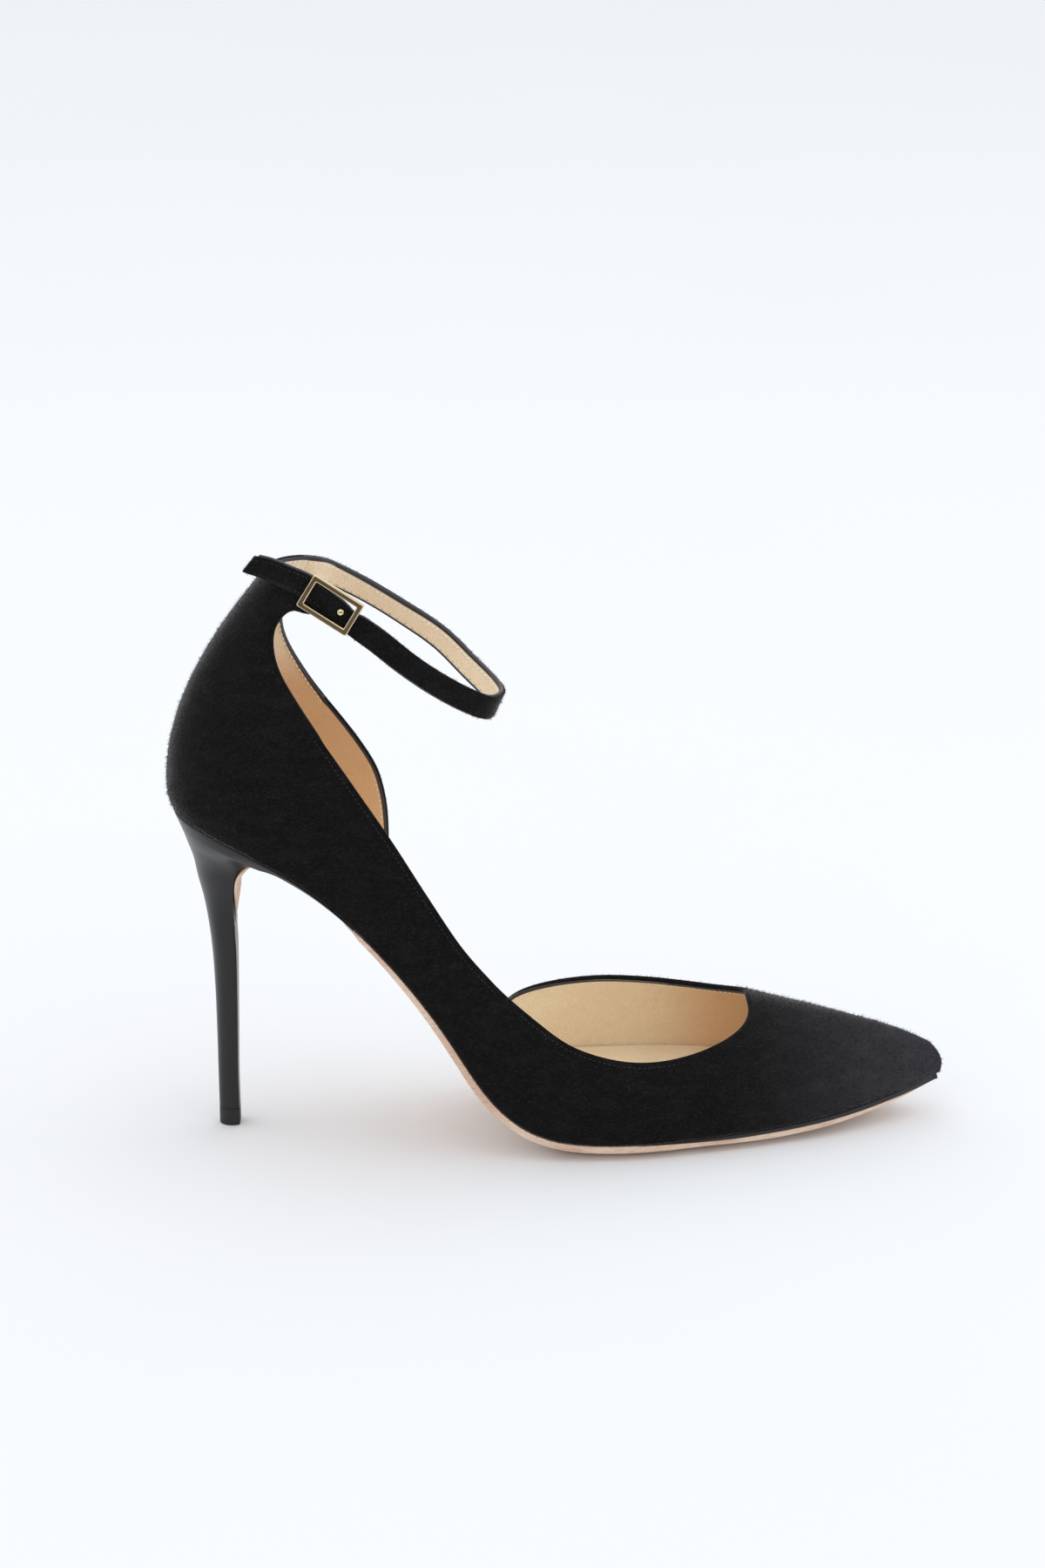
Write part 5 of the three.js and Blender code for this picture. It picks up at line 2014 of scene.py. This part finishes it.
@dataclass
class Strap:
    """Ankle strap of suede on leather, bound at both edges."""

    path: StrapPath
    finishes: Finishes
    lining: float = 0.6
    steps: int = 520
    free_from: float = 0.8
    root: float = -0.006
    end: float = 0.985
    binding: float = 1.3
    dip: float = 0.65
    sag: float = 0.5
    lining_seam: Seam = Seam(1.6, 1.1, 0.4)
    lower_seam: Seam = Seam(2.6, 0.5, 0.2)
    free_seam: Seam = Seam(1.35, 1.1, 0.17)
    nap: Nap = Nap(1.5, 0.85, 0.07, 1.0, (0.4, 0.0, -0.4), 12)

    def _rings(self, shares: Array, outside: float, inside: float, narrow: float) -> Array:
        """Rings of one layer of the strap.

        Args:
            shares: Where along the strap.
            outside: Depth of its outer face from the strap's outside.
            inside: Depth of its inner face.
            narrow: How much narrower each edge is than the strap.

        Returns:
            Rings of points.
        """
        centre, along, up, inward = self.path.frames(shares)
        half = self.path.width / 2 - narrow
        middle, thick = (outside + inside) / 2 - self.path.thickness / 2, (inside - outside) / 2
        soft = min(thick * 0.9, 0.35)
        turn = np.linspace(0, math.pi / 2, 4)
        ring = []
        for corner_up, corner_in in ((1, -1), (-1, -1), (-1, 1), (1, 1)):
            for angle in turn if (corner_up * corner_in) < 0 else turn[::-1]:
                rise = corner_up * (half - soft + soft * math.sin(angle))
                deep = corner_in * (thick - soft + soft * math.cos(angle))
                ring.append((rise, deep))
        ring = self._ordered(ring)
        tuck = smoothstep(shares, 0.0, 0.012)
        points = []
        for rise, deep in ring:
            dip = self._dip(shares) * smoothstep(np.array(rise / half), -0.2, 1.0) + self._sag(shares)
            slant = self._slant(shares, rise / half)
            place = centre + up * (rise - dip)[:, None] + inward * (middle + deep * (0.55 + 0.45 * tuck))[:, None]
            points.append(place - along * slant[:, None])
        return np.stack(points, 1)

    @staticmethod
    def _ordered(ring: list[tuple[float, float]]) -> list[tuple[float, float]]:
        """The ring's points in order round its middle, with more of them on its long sides.

        Args:
            ring: Its corners.

        Returns:
            The points.
        """
        ring = sorted(set(ring), key=lambda place: math.atan2(place[1], place[0]))
        full: list[tuple[float, float]] = []
        for a, b in zip(ring, ring[1:] + ring[:1]):
            parts = 8 if abs(a[0] - b[0]) > 1.5 else 1
            full += [(a[0] + (b[0] - a[0]) * i / parts, a[1] + (b[1] - a[1]) * i / parts) for i in range(parts)]
        return full

    def _dip(self, shares: Array) -> Array:
        """How far the upper edge is pulled down beside the stud."""
        return self.dip * np.exp(-(((shares - 0.748) / 0.014) ** 2))

    def _sag(self, shares: Array) -> Array:
        """How far the strap hangs under the buckle's middle."""
        return self.sag * smoothstep(shares, 0.64, 0.73) * (1 - smoothstep(shares, 0.79, 0.82))

    def _slant(self, shares: Array, rise: float) -> Array:
        """How far the free end's lower corner reaches back."""
        return smoothstep(shares, 0.975, 1.0) * (1.25 * rise - 0.75)

    def build(self) -> list[Piece]:
        """Makes the strap's layers, edges, stitches and nap.

        Returns:
            All pieces of the strap.
        """
        shares = np.linspace(self.root, 1, self.steps)
        suede_deep = self.path.thickness - self.lining
        suede = lofted("strap_suede", self._rings(shares, 0.0, suede_deep, 0.0), self.finishes.suede, 60)
        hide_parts("ankle_strap")
        within = np.linspace(self.root, 0.993, self.steps)
        rings = self._rings(within, suede_deep + 0.02, self.path.thickness, 0.35)
        lining = lofted("strap_lining", rings, self.finishes.strap_lining, 60)
        made = [suede, lining, *self._edges()]
        nap = fibres("strap_nap", placed("skin", suede.data.copy()), self.nap, self.finishes.nap)
        return [*made, nap]

    def _edges(self) -> list[Piece]:
        """Bindings along both edges and rows of stitches.

        Returns:
            The pieces.
        """
        half, thick, finishes = self.path.width / 2, self.path.thickness / 2, self.finishes
        made = []
        # name, side, start, how far in from the edge, height; the upper one covers the lining's corner at the root
        for name, sign, start, within, high in (("upper", 1, -0.012, 0.55, 1.5), ("lower", -1, self.root, 0.3, 0.95)):
            shares = np.linspace(start, self.end, 360)
            centre, _, up, inward = self.path.frames(shares)
            pulled = up * (self._sag(shares) + max(sign, 0) * self._dip(shares))[:, None]
            rim = centre + up * sign * (half - within) - pulled + inward * 0.42
            root = max(sign, 0) * smoothstep(shares, 0.016, 0.002)[:, None]
            rim = rim + (inward * 0.5 + up * 0.35) * root
            made.append(piping(f"strap_{name}_binding", rim, inward, self.binding, high, finishes.binding))
        thread = centre + up * (half - 1.75) + inward * (thick + 0.06)
        made.append(stitches("strap_lining_stitches", thread, inward, self.lining_seam, finishes.pale_thread))
        thread = centre - up * (half - 1.0) + inward * (thick + 0.03)
        made.append(stitches("strap_lower_stitches", thread, inward, self.lower_seam, finishes.dark_thread))
        centre, _, up, inward = self.path.frames(np.linspace(self.free_from, self.end, 90))
        for name, sign in (("upper", 1), ("lower", -1)):
            thread = centre + up * sign * (half - 0.95) - inward * (thick + 0.03)
            made.append(stitches(f"free_end_{name}_stitches", thread, -inward, self.free_seam, finishes.dark_thread))
        return made


@dataclass
class Buckle:
    """Pale gold frame and the stud that holds the strap in it."""

    path: StrapPath
    finishes: Finishes
    length: float = 16.6
    width: float = 10.6
    bar: float = 1.6
    thickness: float = 1.5
    place: float = 0.78
    stud_place: float = 0.765
    turn: float = 5.5
    shift: tuple[float, float] = (-0.55, 0.25)
    gap: float = 0.3
    stud_radius: float = 1.0
    stud_height: float = 0.9

    @staticmethod
    def _rounded(length: float, width: float, radius: float, steps: int = 7) -> Array:
        """Rounded rectangle round the origin.

        Args:
            length: Its size on X.
            width: Its size on Y.
            radius: Of its corners.
            steps: Points on each corner.

        Returns:
            The points.
        """
        far, high = length / 2 - radius, width / 2 - radius
        points = []
        for x, y, turn in ((1, 1, 0), (-1, 1, 90), (-1, -1, 180), (1, -1, 270)):
            for angle in np.radians(turn + np.linspace(0, 90, steps)):
                points.append((x * far + radius * math.cos(angle), y * high + radius * math.sin(angle)))
        return np.array(points)

    def _set(
        self, flat: Array, share: float, lift: float, turn: float = 0.0, shift: tuple[float, float] = (0, 0)
    ) -> Array:
        """Places points on the strap.

        Args:
            flat: The points: X towards the toe along the strap, Y up its width and Z away from it.
            share: Where on the strap.
            lift: How far off its middle.
            turn: Degrees that the points are turned by first.
            shift: How far they are moved after that, on X and Y.

        Returns:
            The placed points.
        """
        cos, sin = math.cos(math.radians(turn)), math.sin(math.radians(turn))
        x, y = flat[:, 0] * cos - flat[:, 1] * sin + shift[0], flat[:, 0] * sin + flat[:, 1] * cos + shift[1]
        centre, along, up, inward = (rows[0] for rows in self.path.frames(share))
        return centre - inward * lift - np.outer(x, along) + np.outer(y, up) - np.outer(flat[:, 2], inward)

    def build(self) -> list[Piece]:
        """Makes the frame and the stud.

        Returns:
            Both pieces.
        """
        profile = (
            (0.1, 0.0), (0.0, 0.1), (0.0, 1.24), (0.06, 1.34), (0.2, 1.45), (0.25, 1.47), (0.29, 1.47),
            (1.27, 1.47), (1.31, 1.47), (1.36, 1.45), (1.54, 1.32), (1.6, 1.2), (1.6, 0.12), (1.48, 0.0),
        )
        rings = []
        for inward, height in profile:
            radius = 0.55 if inward < self.bar / 2 else 0.75
            flat = self._rounded(self.length - 2 * inward, self.width - 2 * inward, max(0.25, radius - 0.2 * inward))
            rings.append(np.column_stack([flat, np.full(len(flat), height)]))
        rings = np.array(rings)
        patch = Patch.grid(np.concatenate([rings, rings[:1]]), closed=True)
        points = self._set(patch.rows, self.place, self.path.thickness / 2 + self.gap, self.turn, self.shift)
        face = [float(0.27 < inward < 1.29) for inward, _ in (*profile, profile[0])]
        shade = {"face": np.repeat(face, len(rings[0]))}
        frame_piece = mesh_piece("buckle_frame_gold", points, patch.faces, self.finishes.metal, attributes=shade)
        tidied(frame_piece, sharp=9)
        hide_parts("buckle_frame")
        return [frame_piece, self._stud()]

    def _stud(self) -> Piece:
        """The stud: a short neck under a domed head with a bevelled rim.

        Returns:
            The piece.
        """
        profile = (
            (0.62, -0.9), (0.62, 0.0), (0.98, 0.06), (1.05, 0.2), (0.98, 0.42), (0.7, 0.72), (0.36, 0.88), (0.08, 0.92),
        )
        turn = np.linspace(0, 2 * math.pi, 28, endpoint=False)
        rings = []
        for radius, height in profile:
            wide = radius * self.stud_radius
            flat = np.stack([wide * np.cos(turn), wide * np.sin(turn)], 1)
            rings.append(np.column_stack([flat, np.full(len(turn), height * self.stud_height)]))
        points, faces = loft(np.array(rings))
        placed = self._set(points, self.stud_place, self.path.thickness / 2)
        made = tidied(mesh_piece("buckle_stud_gold", placed, faces, self.finishes.bead), sharp=60)
        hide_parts("buckle_stud")
        return made


# The studio


@dataclass
class Studio:
    """Camera, floor and soft light."""

    finishes: Finishes
    azimuth: float = 1.0
    elevation: float = 20.5
    distance: float = 1480.0
    focal_pixels: float = 5700.0
    frame_wide: int = 1200
    frame_high: int = 1800
    origin_pixel: tuple[float, float] = (264.5, 1287.0)
    reach: float = 9000.0
    # name, size, power, place from the shoe's middle in metres
    softboxes: tuple[tuple[str, float, float, tuple[float, float, float]], ...] = (
        ("overhead_softbox", 1.4, 3.5, (-0.15, 0.1, 1.5)), ("left_softbox", 0.9, 1.2, (-1.4, 0.2, 0.8)),
        ("right_softbox", 0.9, 1.5, (1.2, 0.15, 0.8)),
    )

    def camera(self) -> Piece:
        """Makes the camera at the photograph's angle.

        Returns:
            The camera.
        """
        turn, rise = math.radians(self.azimuth), math.radians(self.elevation)
        back = np.array([math.sin(turn) * math.cos(rise), -math.cos(turn) * math.cos(rise), math.sin(rise)])
        right = np.array([math.cos(turn), math.sin(turn), 0.0])
        up = np.cross(back, right)
        across = (self.origin_pixel[0] - self.frame_wide / 2) / self.focal_pixels * self.distance
        down = (self.origin_pixel[1] - self.frame_high / 2) / self.focal_pixels * self.distance
        place = Place.metres(-across * right + down * up + self.distance * back)
        data = bpy.data.cameras.new("studio_camera")
        data.sensor_fit = "AUTO"
        data.sensor_width = 36.0
        data.lens = self.focal_pixels * data.sensor_width / self.frame_high
        data.clip_end = 100.0
        camera = self._stand("studio_camera", data, right, back, place)
        bpy.context.scene.camera = camera
        return camera

    @staticmethod
    def _stand(name: str, data: bpy.types.ID, right: Array, back: Array, place: Array) -> Piece:
        """Sets a camera or a light in the studio.

        Args:
            name: Its name.
            data: Its data.
            right: Direction to its right.
            back: Direction that it is turned away from.
            place: Where it stands, in metres.

        Returns:
            The object.
        """
        stood = placed(name, data)
        basis = np.eye(4)
        basis[:3] = np.stack([right, np.cross(back, right), back, place], 1)
        stood.matrix_world = Matrix(basis.tolist())
        return stood

    def floor(self) -> Piece:
        """Makes the pale floor.

        Returns:
            The floor.
        """
        points = self.reach * np.array([(-1, -1, 0), (1, -1, 0), (1, 1, 0), (-1, 1, 0)], float)
        floor = mesh_piece("studio_floor", points, [(0, 1, 2, 3)], self.finishes.floor, smooth=False)
        return floor

    def card(self) -> Piece:
        """Makes the black card in front that only the gloss of metal and lacquer sees.

        Returns:
            The card.
        """
        points = np.array([(-1600, -900, 1), (1300, -900, 1), (1300, -900, 420), (-1600, -900, 420)], float)
        card = mesh_piece("studio_card", points, [(0, 1, 2, 3)], self.finishes.card, smooth=False)
        card.visible_camera = card.visible_diffuse = card.visible_shadow = False
        return card

    def lights(self) -> None:
        """Makes the soft lights and the pale surroundings."""
        centre = Place.metres(np.array([95.0, 0, 60.0]))
        for name, size, power, away in self.softboxes:
            data = bpy.data.lights.new(name, "AREA")
            data.shape = "DISK"
            data.size = size
            data.energy = power
            place = centre + np.array(away)
            back = unit(place - centre)
            self._stand(name, data, unit(np.cross([0, 1.0, 0.01], back)), back, place)
        self._surroundings()

    def _surroundings(self) -> None:
        """Pale room, darker on the side that the camera stands on."""
        world = bpy.data.worlds.new("studio_room")
        world.use_nodes = True
        bpy.context.scene.world = world
        graph = Graph(world.node_tree)
        towards = graph.node("ShaderNodeTexCoord", output="Generated")
        facing = {0: towards, 1: (0.0, -1.0, -0.25)}
        front = graph.node("ShaderNodeVectorMath", {"operation": "DOT_PRODUCT"}, facing, "Value")
        colour = graph.blend(front.step(0.1, 0.9), (0.96, 0.975, 1.0, 1.0), (0.8, 0.795, 0.79, 1.0))
        light = graph.node("ShaderNodeBackground", None, {"Color": colour, "Strength": 1.015})
        graph.node("ShaderNodeOutputWorld", None, {"Surface": light})
        bpy.context.scene.view_settings.view_transform = "Standard"


def main() -> None:
    """Builds the shoe and its studio."""
    logging.basicConfig(level=logging.INFO, format="%(message)s")
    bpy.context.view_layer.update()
    finishes = Finishes()
    studio = Studio(finishes)
    studio.camera()
    studio.floor()
    studio.card()
    studio.lights()
    last = Last()
    path = StrapPath(last)
    bottom = Bottom(last, finishes)
    pieces: list[Piece] = []
    pieces += Upper(last, path, finishes).build()
    pieces.append(Sock(last, finishes).build())
    pieces += bottom.build()
    pieces += Heel(last, bottom, finishes).build()
    pieces += Strap(path, finishes).build()
    pieces += Buckle(path, finishes).build()
    for piece in pieces:
        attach(piece, BODY)
        piece.data.calc_loop_triangles()
        log.info("%s: %d triangles", piece.name, len(piece.data.loop_triangles))


if __name__ == "__main__":
    main()
